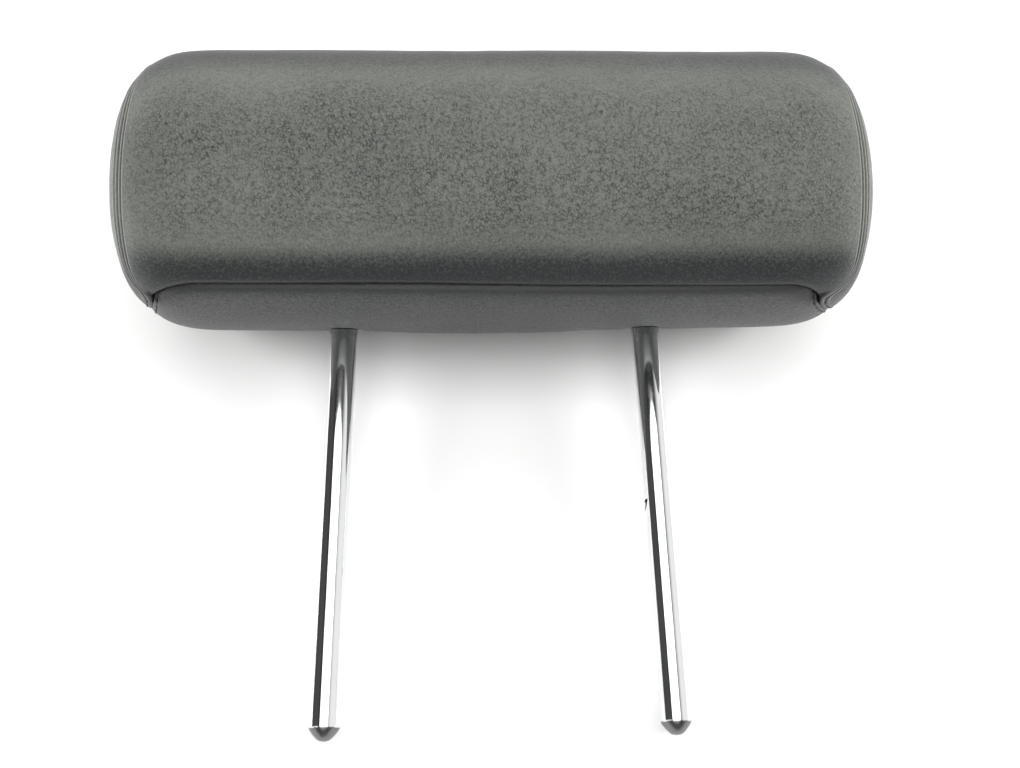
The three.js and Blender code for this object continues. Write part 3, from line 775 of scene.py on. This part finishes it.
# %% Depth of the leather beside the seams
END_GROOVE = 1.7 * MM
END_GROOVE_WIDTH = 0.6 * MM
ROW_OFFSET = 2.3 * MM
ROW_DEPTH = 0.85 * MM
ROW_WIDTH = 0.5 * MM
SEAM_RIDGE = 0.45 * MM
CORNER_EASE = 0.92
CORNER_RISE = 0.10  # these turns are in radians, from the corner on under the roll
CORNER_END = 0.80
CORNER_FADE = 0.30
FRONT_ROLL = 4.0 * MM
FRONT_SINK = 3.0 * MM
UNDER_RISE = 5.0 * MM
CLOSURE_SINK = 1.6 * MM
CLOSURE_WIDTH = 1.6 * MM
SEAM_ALLOWANCE = 2.5 * MM
SEAM_DARK = 0.8 * MM


def bell(distance, width):
    return np.exp(-((distance / width) ** 2))


def end_seam_shape(distance, angle):
    """The seam's groove, a row's valley and the ridges beside it, faint below the corner."""
    below = np.mod(angle - CORNER_SEAM, 2 * math.pi)
    begins = np.clip(below / CORNER_RISE, 0, 1)
    ends = np.clip((CORNER_END - below) / CORNER_FADE, 0, 1)
    eased = 1 - CORNER_EASE * begins * ends
    groove = END_GROOVE * bell(distance, END_GROOVE_WIDTH)
    row = ROW_DEPTH * bell(distance - ROW_OFFSET, ROW_WIDTH)
    near_ridge = bell(distance - ROW_OFFSET / 2, ROW_WIDTH)
    far_ridge = 0.6 * bell(distance - 1.55 * ROW_OFFSET, ROW_WIDTH)
    return eased * (SEAM_RIDGE * (near_ridge + far_ridge) - groove - row)


def rolled_edge(distance):
    """The main panel turns over the front seam like the rim of a cushion."""
    share = np.clip(1 - distance / FRONT_ROLL, 0, 1)
    return -FRONT_SINK * (1 - np.sqrt(1 - share**2 * 0.98))


def under_edge(distance):
    """The bottom panel comes out from under that rim."""
    return -FRONT_SINK * np.exp(-distance / UNDER_RISE * 2)


def closure_edge(distance):
    return -CLOSURE_SINK * bell(distance, CLOSURE_WIDTH)


def note_depth(panel, shape):
    """Keeps how deep in a seam or how high on a ridge a point lies, for the painted shade in the
    seams and the painted highlight on the ridges.
    """
    for name, share in (("in_seam", -shape / SEAM_DARK), ("on_ridge", shape / SEAM_RIDGE)):
        kept = panel.data.attributes.new(name, "FLOAT", "POINT")
        kept.data.foreach_set("value", np.clip(share, 0, 1).astype(np.float32))


def turned_in(place):
    """The outermost column or row of a grid is the edge that is turned into the seam."""
    return np.where((place == 0) | (place == place.max()), -SEAM_ALLOWANCE, 0.0)


# %% [markdown]
# ## Folds that use has left
# A stuffed cover is never even. Leather drawn into the lower corners keeps slanting
# creases, the front is softly dented, and the underside hangs a little between the posts.
# These are wide and shallow, so they are shape and not grain.

# %% Dents, creases and the hanging underside
DENTS = 0.35 * MM
CREASE_DEPTH = 0.18 * MM
CREASE_SPACING = 9 * MM
CREASED_PLACES = (  # middle in mm, slant in degrees, size in mm, share of the depth
    ((112, -58, 182), 35, 20, 1.0),
    ((-118, -58, 184), -40, 15, 1.0),
    ((-104, -76, 222), 20, 16, 0.6),
)
HANG = 1.2 * MM
FULL_FRONT = 0.6 * MM
FULL_UNDER = 0.4 * MM
FULL_END = 1.6 * MM
FULL_END_RISE = 6 * MM
END_FADE = 3 * MM
POST_SINK = 0.7 * MM
POST_DRAW = 3 * MM


def dents(points):
    """A slow uneven swell made of a few crossing waves."""
    x, y, z = points.T / MM
    first = np.sin(x / 17 + z / 23)
    second = np.sin(x / 29 - y / 13 + 1.3)
    third = np.sin(z / 11 + x / 41 + 2.1)
    return DENTS * (first + second + third) / 3


def corner_creases(points, middle, slant, size):
    """Slanting creases round one place on the cover."""
    away = (points - np.array(middle) * MM) / MM
    across = away[:, 0] * math.cos(slant) + away[:, 2] * math.sin(slant)
    near = np.exp(-(np.linalg.norm(away, axis=1) / size) ** 2)
    winding = 3.5 * np.sin(away[:, 2] / 7 + away[:, 0] / 13)
    bent = across + winding + 2 * np.sin(away[:, 0] / 4.3)
    wave = np.cos(2 * math.pi * bent * MM / CREASE_SPACING)
    return CREASE_DEPTH * near * wave


def front_folds(points):
    folds = FULL_FRONT + dents(points)
    for middle, slant, size, share in CREASED_PLACES:
        folds = folds + corner_creases(points, middle, math.radians(slant), size) * share
    return folds


def hanging(points):
    """The underside: it hangs between the posts and is drawn in round them."""
    x, y = points[:, 0] / MM, points[:, 1] / MM
    to_post = np.hypot(np.abs(points[:, 0]) - POST_X, points[:, 1]) - TUBE_RADIUS
    near_post = np.where(points[:, 2] < CENTRE_Z, bell(np.maximum(to_post, 0), POST_DRAW), 0)
    sag = HANG * np.exp(-(((x + 6) / 42) ** 4)) * bell(y + 3, 11)
    return FULL_UNDER + sag - POST_SINK * near_post


# %% [markdown]
# ## The main panel
# One piece of leather goes from the front seam over the front, the top and the rear down
# to the closing seam. After its shape is set it is given its thickness inwards.

# %% Main and bottom panel
def long_panel(name, first_angle, last_angle, edge_shapes, extra, material):
    """A panel between the two end seams; the angles are functions of the place."""
    stretch = steps_between_seams(2 * along(END_SEAM)) * 2 - 1
    turn = abs(float(last_angle(0.0) - first_angle(0.0))) * HALF_HEIGHT
    wrap = steps_between_seams(turn)
    panel, column, row = flat_grid(name, len(stretch) - 1, len(wrap) - 1)
    t, w = stretch[column], wrap[row]
    first, last = first_angle(t), last_angle(t)
    angle = first + (last - first) * w
    reach = along(end_seam(angle, t) - SEAM_GAP / 2)
    x = np.sign(t) * place_at(np.abs(t) * reach)
    points, out = roll_surface(angle, x)
    swell = press_on(panel, form, points, out, (column, row))
    to_end = reach * (1 - np.abs(t))
    radius = np.hypot(points[:, 1] - FORWARD, points[:, 2] - CENTRE_Z)
    shape = end_seam_shape(to_end, angle)
    for edge, at in ((edge_shapes[0], first), (edge_shapes[1], last)):
        shape = shape + edge(np.abs(angle - at) * radius)
    note_depth(panel, shape)
    shape = shape + np.minimum(turned_in(column), turned_in(row))
    flat_at_ends = 1 - np.exp(-to_end / END_FADE)
    write_points(panel, points + out * (swell + shape + extra(points) * flat_at_ends)[:, None])
    return finish_panel(panel, out, material)


def finish_panel(panel, out, material):
    """Turns the leather's good side out, gives it thickness and smooths it."""
    facing = sum(p.normal.dot(Vector(out[p.vertices[0]])) for p in panel.data.polygons)
    pick(panel)
    bpy.ops.object.mode_set(mode="EDIT")
    bpy.ops.mesh.select_all(action="SELECT")
    if facing < 0:
        bpy.ops.mesh.flip_normals()
    bpy.ops.mesh.remove_doubles(threshold=0.00001)
    bpy.ops.object.mode_set(mode="OBJECT")
    hide = panel.modifiers.new("thickness", "SOLIDIFY")
    hide.thickness = LEATHER
    hide.offset = -1
    bpy.ops.object.modifier_apply(modifier=hide.name)
    bpy.ops.object.shade_smooth_by_angle(angle=math.radians(50))
    panel.data.materials.clear()
    panel.data.materials.append(material)
    print(panel.name, len(panel.data.polygons), "faces")
    return panel


half_gap = SEAM_GAP / 2 / HALF_HEIGHT


def closure_on_top(share):
    return np.full_like(np.asarray(share, float), CLOSURE_SEAM - 2 * math.pi + half_gap)


def front_above(share):
    return front_seam(share) - half_gap


def front_below(share):
    return front_seam(share) + half_gap


def closure_below(share):
    return np.full_like(np.asarray(share, float), CLOSURE_SEAM - half_gap)


main_panel = long_panel(
    "leather_main_panel",
    closure_on_top,
    front_above,
    (closure_edge, rolled_edge),
    front_folds,
    main_leather,
)
bottom_panel = long_panel(
    "leather_bottom_panel",
    front_below,
    closure_below,
    (under_edge, closure_edge),
    hanging,
    plain_leather,
)

# %% [markdown]
# ## The end panels
# Each end is a rounded piece sewn into the ring that the main and bottom panels leave.
# A flat grid becomes rings from the seam to the middle, whose last ring closes to a point.

# %% End panels
AROUND = 260


def turns_closer_at_corner(count):
    """Angles once round the section, closer together where the seams meet."""
    fine = np.linspace(0, 2 * math.pi, 4001)
    weight = 1 + 2.5 * np.exp(-((angle_between(fine, CORNER_SEAM) / math.radians(16)) ** 2))
    total = np.concatenate([[0], np.cumsum((weight[1:] + weight[:-1]) / 2)])
    return np.interp(np.linspace(0, total[-1], count + 1), total, fine)


def end_panel(name, side):
    rings = steps_between_seams(2 * (walk[-1] - along(END_SEAM)))
    rings = rings[rings <= 0.5] * 2
    edge = np.arange(len(rings)) == 0
    panel, column, row = flat_grid(name, AROUND, len(rings) - 1)
    angle = turns_closer_at_corner(AROUND)[column]
    start = along(end_seam(angle, side) + SEAM_GAP / 2)
    to_end = (walk[-1] - start) * rings[row]
    points, out = roll_surface(angle, side * place_at(start + to_end))
    swell = press_on(panel, form, points, out, (column, row))
    full = FULL_END * (1 - np.exp(-to_end / FULL_END_RISE))
    sewn = end_seam_shape(to_end, angle)
    lift = swell + full + sewn + dents(points) * 0.6 - SEAM_ALLOWANCE * edge[row]
    note_depth(panel, sewn)
    wrapped = column == AROUND
    lift[wrapped] = lift[column == 0][np.argsort(row[column == 0])][row[wrapped]]
    lift[row == row.max()] = lift[row == row.max()].mean()
    write_points(panel, points + out * lift[:, None])
    return finish_panel(panel, out, plain_leather)


end_left = end_panel("leather_end_left", -1)
end_right = end_panel("leather_end_right", 1)

# %% [markdown]
# ## Holes for the posts
# The leather under the roll is punched where the posts come out. A cylinder a little
# wider than the post is taken from the panel.

# %% Post holes in the bottom panel
HOLE_CLEARANCE = 0.5 * MM
HOLE_REACH = 20 * MM


def cut_by(piece, cutter):
    cut = piece.modifiers.new("cut", "BOOLEAN")
    cut.object = cutter
    cut.operation = "DIFFERENCE"
    cut.solver = "EXACT"
    pick(piece)
    bpy.ops.object.modifier_apply(modifier=cut.name)
    bpy.data.objects.remove(cutter)


def bore(x, radius, bottom, top):
    """A round cutter along a post."""
    clear_selection()
    bpy.ops.mesh.primitive_cylinder_add(
        vertices=48, radius=radius, depth=top - bottom, location=(x, 0, (top + bottom) / 2)
    )
    cutter = bpy.context.object
    bpy.ops.object.transform_apply(location=True, rotation=True, scale=True)
    return cutter


for side in (-1, 1):
    punch = bore(
        side * POST_X, TUBE_RADIUS + HOLE_CLEARANCE, BOTTOM - HOLE_REACH, BOTTOM + HOLE_REACH
    )
    cut_by(bottom_panel, punch)
bpy.ops.object.shade_smooth_by_angle(angle=math.radians(50))
print("bottom panel with holes", len(bottom_panel.data.polygons), "faces")

# %% [markdown]
# ## Stitches
# Along each end the leather is sewn down with two rows of dark thread, one on each side
# of the seam. A stitch is a short bead of thread whose ends dive into the leather. It is
# modelled once, as a small ball drawn out in the middle, and copied along both rows.

# %% One stitch and the two rows at each end
STITCH_PITCH = 4.3 * MM
STITCH_LENGTH = 3.3 * MM
THREAD = 0.34 * MM
THREAD_DIP = 0.30 * MM
THREAD_RISE = 0.35  # how far a stitch stands out of the leather, as a share of the thread
LOOK_FROM = 8 * MM
LOOK_DOWN = 14 * MM
THREAD_DARK = (0.012, 0.013, 0.014, 1)
THREAD_PALE = (0.040, 0.042, 0.043, 1)


def thread_material():
    material, nodes, links, yarn, place = finish_material("sewing thread")
    twist = noise(nodes, links, place, 3200, 2)
    tone = blend_colour(nodes, links, twist, THREAD_DARK, THREAD_PALE)
    links.new(tone, yarn.inputs["Base Color"])
    links.new(bump(nodes, links, twist, 0.0002, 0.5), yarn.inputs["Normal"])
    yarn.inputs["Roughness"].default_value = 0.6
    return material


thread = thread_material()


def one_stitch():
    clear_selection()
    bpy.ops.mesh.primitive_uv_sphere_add(segments=8, ring_count=6, radius=THREAD)
    stitch = bpy.context.object
    stitch.name = "stitch"
    bpy.ops.object.mode_set(mode="EDIT")
    for end in (-1, 1):
        bpy.ops.mesh.select_all(action="DESELECT")
        bpy.ops.object.mode_set(mode="OBJECT")
        for vertex in stitch.data.vertices:
            vertex.select = vertex.co.z * end > THREAD * 0.05
        bpy.ops.object.mode_set(mode="EDIT")
        bpy.ops.transform.translate(value=(0, 0, end * (STITCH_LENGTH / 2 - THREAD)))
    bpy.ops.object.mode_set(mode="OBJECT")
    points = read_points(stitch)
    points[:, 0] -= THREAD_DIP * (points[:, 2] / (STITCH_LENGTH / 2)) ** 2
    write_points(stitch, points)
    bpy.ops.object.shade_smooth()
    stitch.data.materials.append(thread)
    return stitch


def surface_of(piece):
    return BVHTree.FromObject(piece, bpy.context.evaluated_depsgraph_get())


def row_of_places(side, offset, surfaces):
    """Evenly spaced places on the leather along an end seam, with their directions."""
    angle = np.linspace(0, 2 * math.pi, 1441)
    x = side * place_at(along(end_seam(angle, side)) + offset)
    line, out = roll_surface(angle, x)
    length = np.concatenate([[0], np.cumsum(np.linalg.norm(np.diff(line, axis=0), axis=1))])
    count = int(round(length[-1] / STITCH_PITCH))
    marks = (np.arange(count) + 0.5) * length[-1] / count
    next_marks = (marks + MM) % length[-1]
    at = np.stack([np.interp(marks, length, line[:, i]) for i in range(3)], axis=1)
    ahead = np.stack([np.interp(next_marks, length, line[:, i]) for i in range(3)], axis=1)
    way = np.stack([np.interp(marks, length, out[:, i]) for i in range(3)], axis=1)
    for place, next_place, up in zip(at, ahead, way):
        up = Vector(up).normalized()
        above = Vector(place) + up * LOOK_FROM
        hits = [tree.ray_cast(above, -up, LOOK_DOWN) for tree in surfaces]
        hits = [hit[0] for hit in hits if hit[0] is not None]
        if hits:
            seat = max(hits, key=lambda hit: (hit - Vector(place)).dot(up))
            yield seat, (Vector(next_place) - Vector(place)).normalized(), up


def sew(name, side, stitch, panels):
    surfaces = [surface_of(panel) for panel in panels]
    copies = []
    for offset in (-ROW_OFFSET, ROW_OFFSET):
        for seat, ahead, up in row_of_places(side, offset, surfaces):
            across = ahead.cross(up).normalized()
            turn = Matrix((up, across, up.cross(across))).transposed().to_4x4()
            copy = bpy.data.objects.new(name, stitch.data.copy())
            copy.data.transform(Matrix.Translation(seat + up * THREAD * THREAD_RISE) @ turn)
            bpy.context.collection.objects.link(copy)
            copies.append(copy)
    clear_selection()
    for copy in copies:
        copy.select_set(True)
    bpy.context.view_layer.objects.active = copies[0]
    bpy.ops.object.join()
    row = bpy.context.object
    row.name = name
    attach(row, "root")
    print(name, len(copies), "stitches")
    return row


stitch = one_stitch()
sew("stitches_left", -1, stitch, (main_panel, bottom_panel, end_left))
sew("stitches_right", 1, stitch, (main_panel, bottom_panel, end_right))
bpy.data.objects.remove(stitch)

# %% [markdown]
# ## Places in the assembly
# Each finished panel takes over from the plain one of the imported model and follows the same
# body. It lies on foam and gives.

# %% Places of the leather panels in the assembly
for panel, node in (
    (main_panel, "cover_main_panel"),
    (bottom_panel, "cover_bottom_panel"),
    (end_left, "cover_end_left"),
    (end_right, "cover_end_right"),
):
    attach(panel, "root")
    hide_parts(node)

# %% [markdown]
# ## The posts
# Both posts are one steel tube, bent twice and chromed. It is drawn as it is made: a
# round section is pushed up the first post, spun round the two bends and pushed down the
# second. The ends are spun shut to a dome with a small hole left in the middle.

# %% The bent tube
TUBE_SIDES = 64
BEND = 25 * MM
BAR_Z = post_high.z - TUBE_RADIUS
TIP_PROFILE = (  # radius and height of each ring in mm
    (5.72, 4.4), (5.3, 3.72), (4.75, 2.95), (4.1, 2.15), (3.4, 1.38),
    (2.75, 0.76), (2.1, 0.34), (1.4, 0.08), (0.8, 0),
)
TIP_START = 5 * MM
RIM_LIP = 0.5 * MM
RIM_SHARE = 0.6
RIM_DEPTH = 3 * MM
TUBE_WALL = 0.4 * MM
POST_STEPS = 6
BEND_STEPS = 20
TIP_EDGE = 0.4 * MM  # a ring close above the tip keeps the long sides straight in the shading


def push(x, y, z):
    bpy.ops.mesh.extrude_region_move(TRANSFORM_OT_translate={"value": (x, y, z)})


def narrow(share, x):
    bpy.ops.transform.resize(
        value=(share, share, 1), center_override=(x, 0, 0), orient_type="GLOBAL"
    )


def close_tip(x):
    """Spins the open end of a post shut, ring by ring, and turns its rim inwards."""
    radius, height = TUBE_RADIUS, TIP_START
    for next_radius, next_height in TIP_PROFILE:
        next_radius, next_height = next_radius * MM, next_height * MM
        push(0, 0, next_height - height)
        narrow(next_radius / radius, x)
        radius, height = next_radius, next_height
    push(0, 0, RIM_LIP)
    narrow(RIM_SHARE, x)
    push(0, 0, RIM_DEPTH)


def bend_round(x):
    """Spins the open end a quarter turn about a line along Y."""
    bpy.ops.mesh.spin(
        steps=BEND_STEPS, angle=-math.pi / 2, center=(x, 0, BAR_Z - BEND), axis=(0, 1, 0)
    )


clear_selection()
bpy.ops.mesh.primitive_circle_add(
    vertices=TUBE_SIDES, radius=TUBE_RADIUS, location=(-POST_X, 0, TIP_START)
)
tube = bpy.context.object
tube.name = "bright_tube"
bpy.ops.object.transform_apply(location=True, rotation=True, scale=True)
bpy.ops.object.mode_set(mode="EDIT")
bpy.ops.mesh.select_all(action="SELECT")
post_step = (BAR_Z - BEND - TIP_START - TIP_EDGE) / POST_STEPS
push(0, 0, TIP_EDGE)
for _ in range(POST_STEPS):
    push(0, 0, post_step)
bend_round(-POST_X + BEND)
push(2 * (POST_X - BEND), 0, 0)
bend_round(POST_X - BEND)
for _ in range(POST_STEPS):
    push(0, 0, -post_step)
push(0, 0, -TIP_EDGE)
close_tip(POST_X)
bpy.ops.mesh.select_all(action="DESELECT")
bpy.ops.object.mode_set(mode="OBJECT")
for vertex in tube.data.vertices:
    vertex.select = abs(vertex.co.z - TIP_START) < 1e-6 and vertex.co.x < 0
bpy.ops.object.mode_set(mode="EDIT")
close_tip(-POST_X)
bpy.ops.mesh.select_all(action="SELECT")
bpy.ops.mesh.remove_doubles(threshold=0.000001)
bpy.ops.mesh.normals_make_consistent(inside=False)
bpy.ops.object.mode_set(mode="OBJECT")
wall = tube.modifiers.new("wall", "SOLIDIFY")
wall.thickness = TUBE_WALL
wall.offset = -1
bpy.ops.object.modifier_apply(modifier=wall.name)

# %% [markdown]
# ## The notch
# A spring catch in the seat drops into a notch in one post and holds the headrest at its
# height. The notch has a square shoulder on top, which the catch stops, and a ramp below,
# over which it slides. A block with one slanting side is taken from the tube.

# %% The notch that the seat's catch holds
NOTCH_Z = 91.6 * MM
NOTCH_SIZE = Vector((2.2, 16, 6)) * MM
NOTCH_RAMP = 1.0 * MM

clear_selection()
notch_middle = (POST_X - TUBE_RADIUS, 0, NOTCH_Z - NOTCH_SIZE.z / 2)
bpy.ops.mesh.primitive_cube_add(size=1, location=notch_middle)
catch = bpy.context.object
catch.scale = NOTCH_SIZE
bpy.ops.object.transform_apply(location=True, rotation=True, scale=True)
ramp_cut = read_points(catch)
low_side = (ramp_cut[:, 2] < NOTCH_Z - MM) & (ramp_cut[:, 0] > POST_X - TUBE_RADIUS)
ramp_cut[low_side, 0] -= NOTCH_RAMP
write_points(catch, ramp_cut)
cut_by(tube, catch)
bpy.ops.object.shade_smooth_by_angle(angle=math.radians(35))
tube_points = read_points(tube)
print("tube from", np.round(tube_points.min(0) / MM, 1), "to", np.round(tube_points.max(0) / MM, 1))

# %% [markdown]
# ## Chrome
# Chrome is a mirror that shows the room, faintly smeared by hands and with hair-fine lines
# along the tube from the seat's sleeves. The spun tips are only a darker and rougher tone
# below the height where the dome begins.

# %% Chrome
CHROME_DARK = (0.84, 0.85, 0.86, 1)
CHROME_PALE = (0.93, 0.935, 0.94, 1)
TIP_DULL = (0.19, 0.19, 0.195, 1)
TIP_ROUGH = 0.30


def chrome_material():
    material, nodes, links, metal, place = finish_material("bright chrome")
    metal.inputs["Metallic"].default_value = 1.0
    stretch = nodes.new("ShaderNodeMapping")
    stretch.inputs["Scale"].default_value = (1, 1, 0.03)
    links.new(place, stretch.inputs["Vector"])
    lines = noise(nodes, links, stretch.outputs[0], 1800, 3)
    smear = noise(nodes, links, place, 60, 3)
    split = nodes.new("ShaderNodeSeparateXYZ")
    links.new(place, split.inputs[0])
    scale = maths(nodes, links, "MULTIPLY", noise(nodes, links, place, 900, 3), 0.0012)
    height = maths(nodes, links, "ADD", split.outputs["Z"], scale)
    tip = slope(nodes, links, height, TIP_START, TIP_START + 0.6 * MM, 1.0, 0.0)
    shine = slope(nodes, links, smear, 0.3, 0.75, 0.04, 0.11)
    dull = maths(nodes, links, "MULTIPLY", tip, TIP_ROUGH)
    links.new(maths(nodes, links, "MAXIMUM", shine, dull), metal.inputs["Roughness"])
    tone = blend_colour(nodes, links, smear, CHROME_DARK, CHROME_PALE)
    links.new(towards_colour(nodes, links, tip, tone, TIP_DULL), metal.inputs["Base Color"])
    links.new(bump(nodes, links, lines, 0.0001, 0.05), metal.inputs["Normal"])
    return material


tube.data.materials.append(chrome_material())
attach(tube, "root")
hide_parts("post_frame")

# %% [markdown]
# ## The foam
# Inside the leather is one moulded block of soft foam round the carrier. Nobody sees it
# while the cover is closed, but it is what gives the roll its shape, so it is the stuffed
# form itself, drawn in by twice the thickness of the leather and further at the seams,
# with a cavity for the carrier and a bore for each collar.

# %% The foam block
FOAM_INSET = 2.6 * MM
SEAM_REACH = 4 * MM
CAVITY_PLAY = 0.6 * MM
COLLAR_PLAY = 0.4 * MM
FOAM_DARK = (0.05, 0.05, 0.05, 1)
FOAM_PALE = (0.11, 0.11, 0.11, 1)

foam_block = form
foam_block.name = "foam_block"
foam_block.vertex_groups.clear()
foam_points = read_points(foam_block)
foam_out = outward(foam_points[:, 0], foam_points[:, 1] - FORWARD, foam_points[:, 2] - CENTRE_Z)
to_end, to_front = seam_distances(foam_points)[:2]
near_seam = np.minimum(to_end, to_front)
deeper = FRONT_SINK * np.exp(-near_seam / SEAM_REACH)
write_points(foam_block, foam_points - foam_out * (FOAM_INSET + deeper)[:, None])

carrier_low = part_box("carrier_front")[0]
rear_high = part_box("carrier_rear")[1]
clear_selection()
middle = [(a + b) / 2 for a, b in zip(carrier_low, rear_high)]
bpy.ops.mesh.primitive_cube_add(size=1, location=middle)
cavity = bpy.context.object
cavity.scale = [b - a + CAVITY_PLAY for a, b in zip(carrier_low, rear_high)]
bpy.ops.object.transform_apply(location=True, rotation=True, scale=True)
cut_by(foam_block, cavity)
collar_low, collar_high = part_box("post_collar_right")
collar_bore = (collar_high.y - collar_low.y) / 2 + COLLAR_PLAY
bore_ends = carrier_low.z - 50 * MM, carrier_low.z + 5 * MM
for side in (-1, 1):
    cut_by(foam_block, bore(side * POST_X, collar_bore, *bore_ends))


def foam_material():
    material, nodes, links, soft, place = finish_material("open foam")
    soft.inputs["Roughness"].default_value = 0.95
    cells = nodes.new("ShaderNodeTexVoronoi")
    cells.inputs["Scale"].default_value = 1500
    links.new(place, cells.inputs["Vector"])
    tone = blend_colour(nodes, links, cells.outputs["Distance"], FOAM_DARK, FOAM_PALE)
    links.new(tone, soft.inputs["Base Color"])
    links.new(bump(nodes, links, cells.outputs["Distance"], 0.0004, 0.7), soft.inputs["Normal"])
    return material


foam_block.data.materials.clear()
foam_block.data.materials.append(foam_material())
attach(foam_block, "root")
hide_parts("foam_pad")
print("foam", len(foam_block.data.polygons), "faces")

# %% [markdown]
# ## Parts that stay as they are
# The carrier, its screws, the collars and the closing strips have the right shape in the
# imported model, so they only get a finish: dull moulded plastic, and zinc-plated steel.

# %% Plastic and steel
def plain_part_material(name, dark, pale, metallic, gloss, grain_scale, grain_depth):
    material, nodes, links, part, place = finish_material(name)
    part.inputs["Metallic"].default_value = metallic
    grain = noise(nodes, links, place, grain_scale, 3)
    cloud = noise(nodes, links, place, 40, 3)
    links.new(blend_colour(nodes, links, cloud, dark, pale), part.inputs["Base Color"])
    rough = slope(nodes, links, cloud, 0.3, 0.7, gloss + 0.08, gloss - 0.08)
    links.new(rough, part.inputs["Roughness"])
    links.new(bump(nodes, links, grain, grain_depth, 0.4), part.inputs["Normal"])
    return material


moulded = plain_part_material(
    "moulded plastic", (0.018, 0.018, 0.019, 1), (0.034, 0.034, 0.035, 1), 0.0, 0.55, 2200, 0.0002
)
plated = plain_part_material(
    "plated steel", (0.42, 0.42, 0.43, 1), (0.60, 0.60, 0.58, 1), 1.0, 0.34, 1600, 0.00008
)
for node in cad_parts:
    finish = plated if "screw" in node else moulded
    if node.startswith(("carrier", "post_collar", "closure")):
        part = bpy.data.objects[node]
        part.data.materials.clear()
        part.data.materials.append(finish)
        print(node, finish.name)
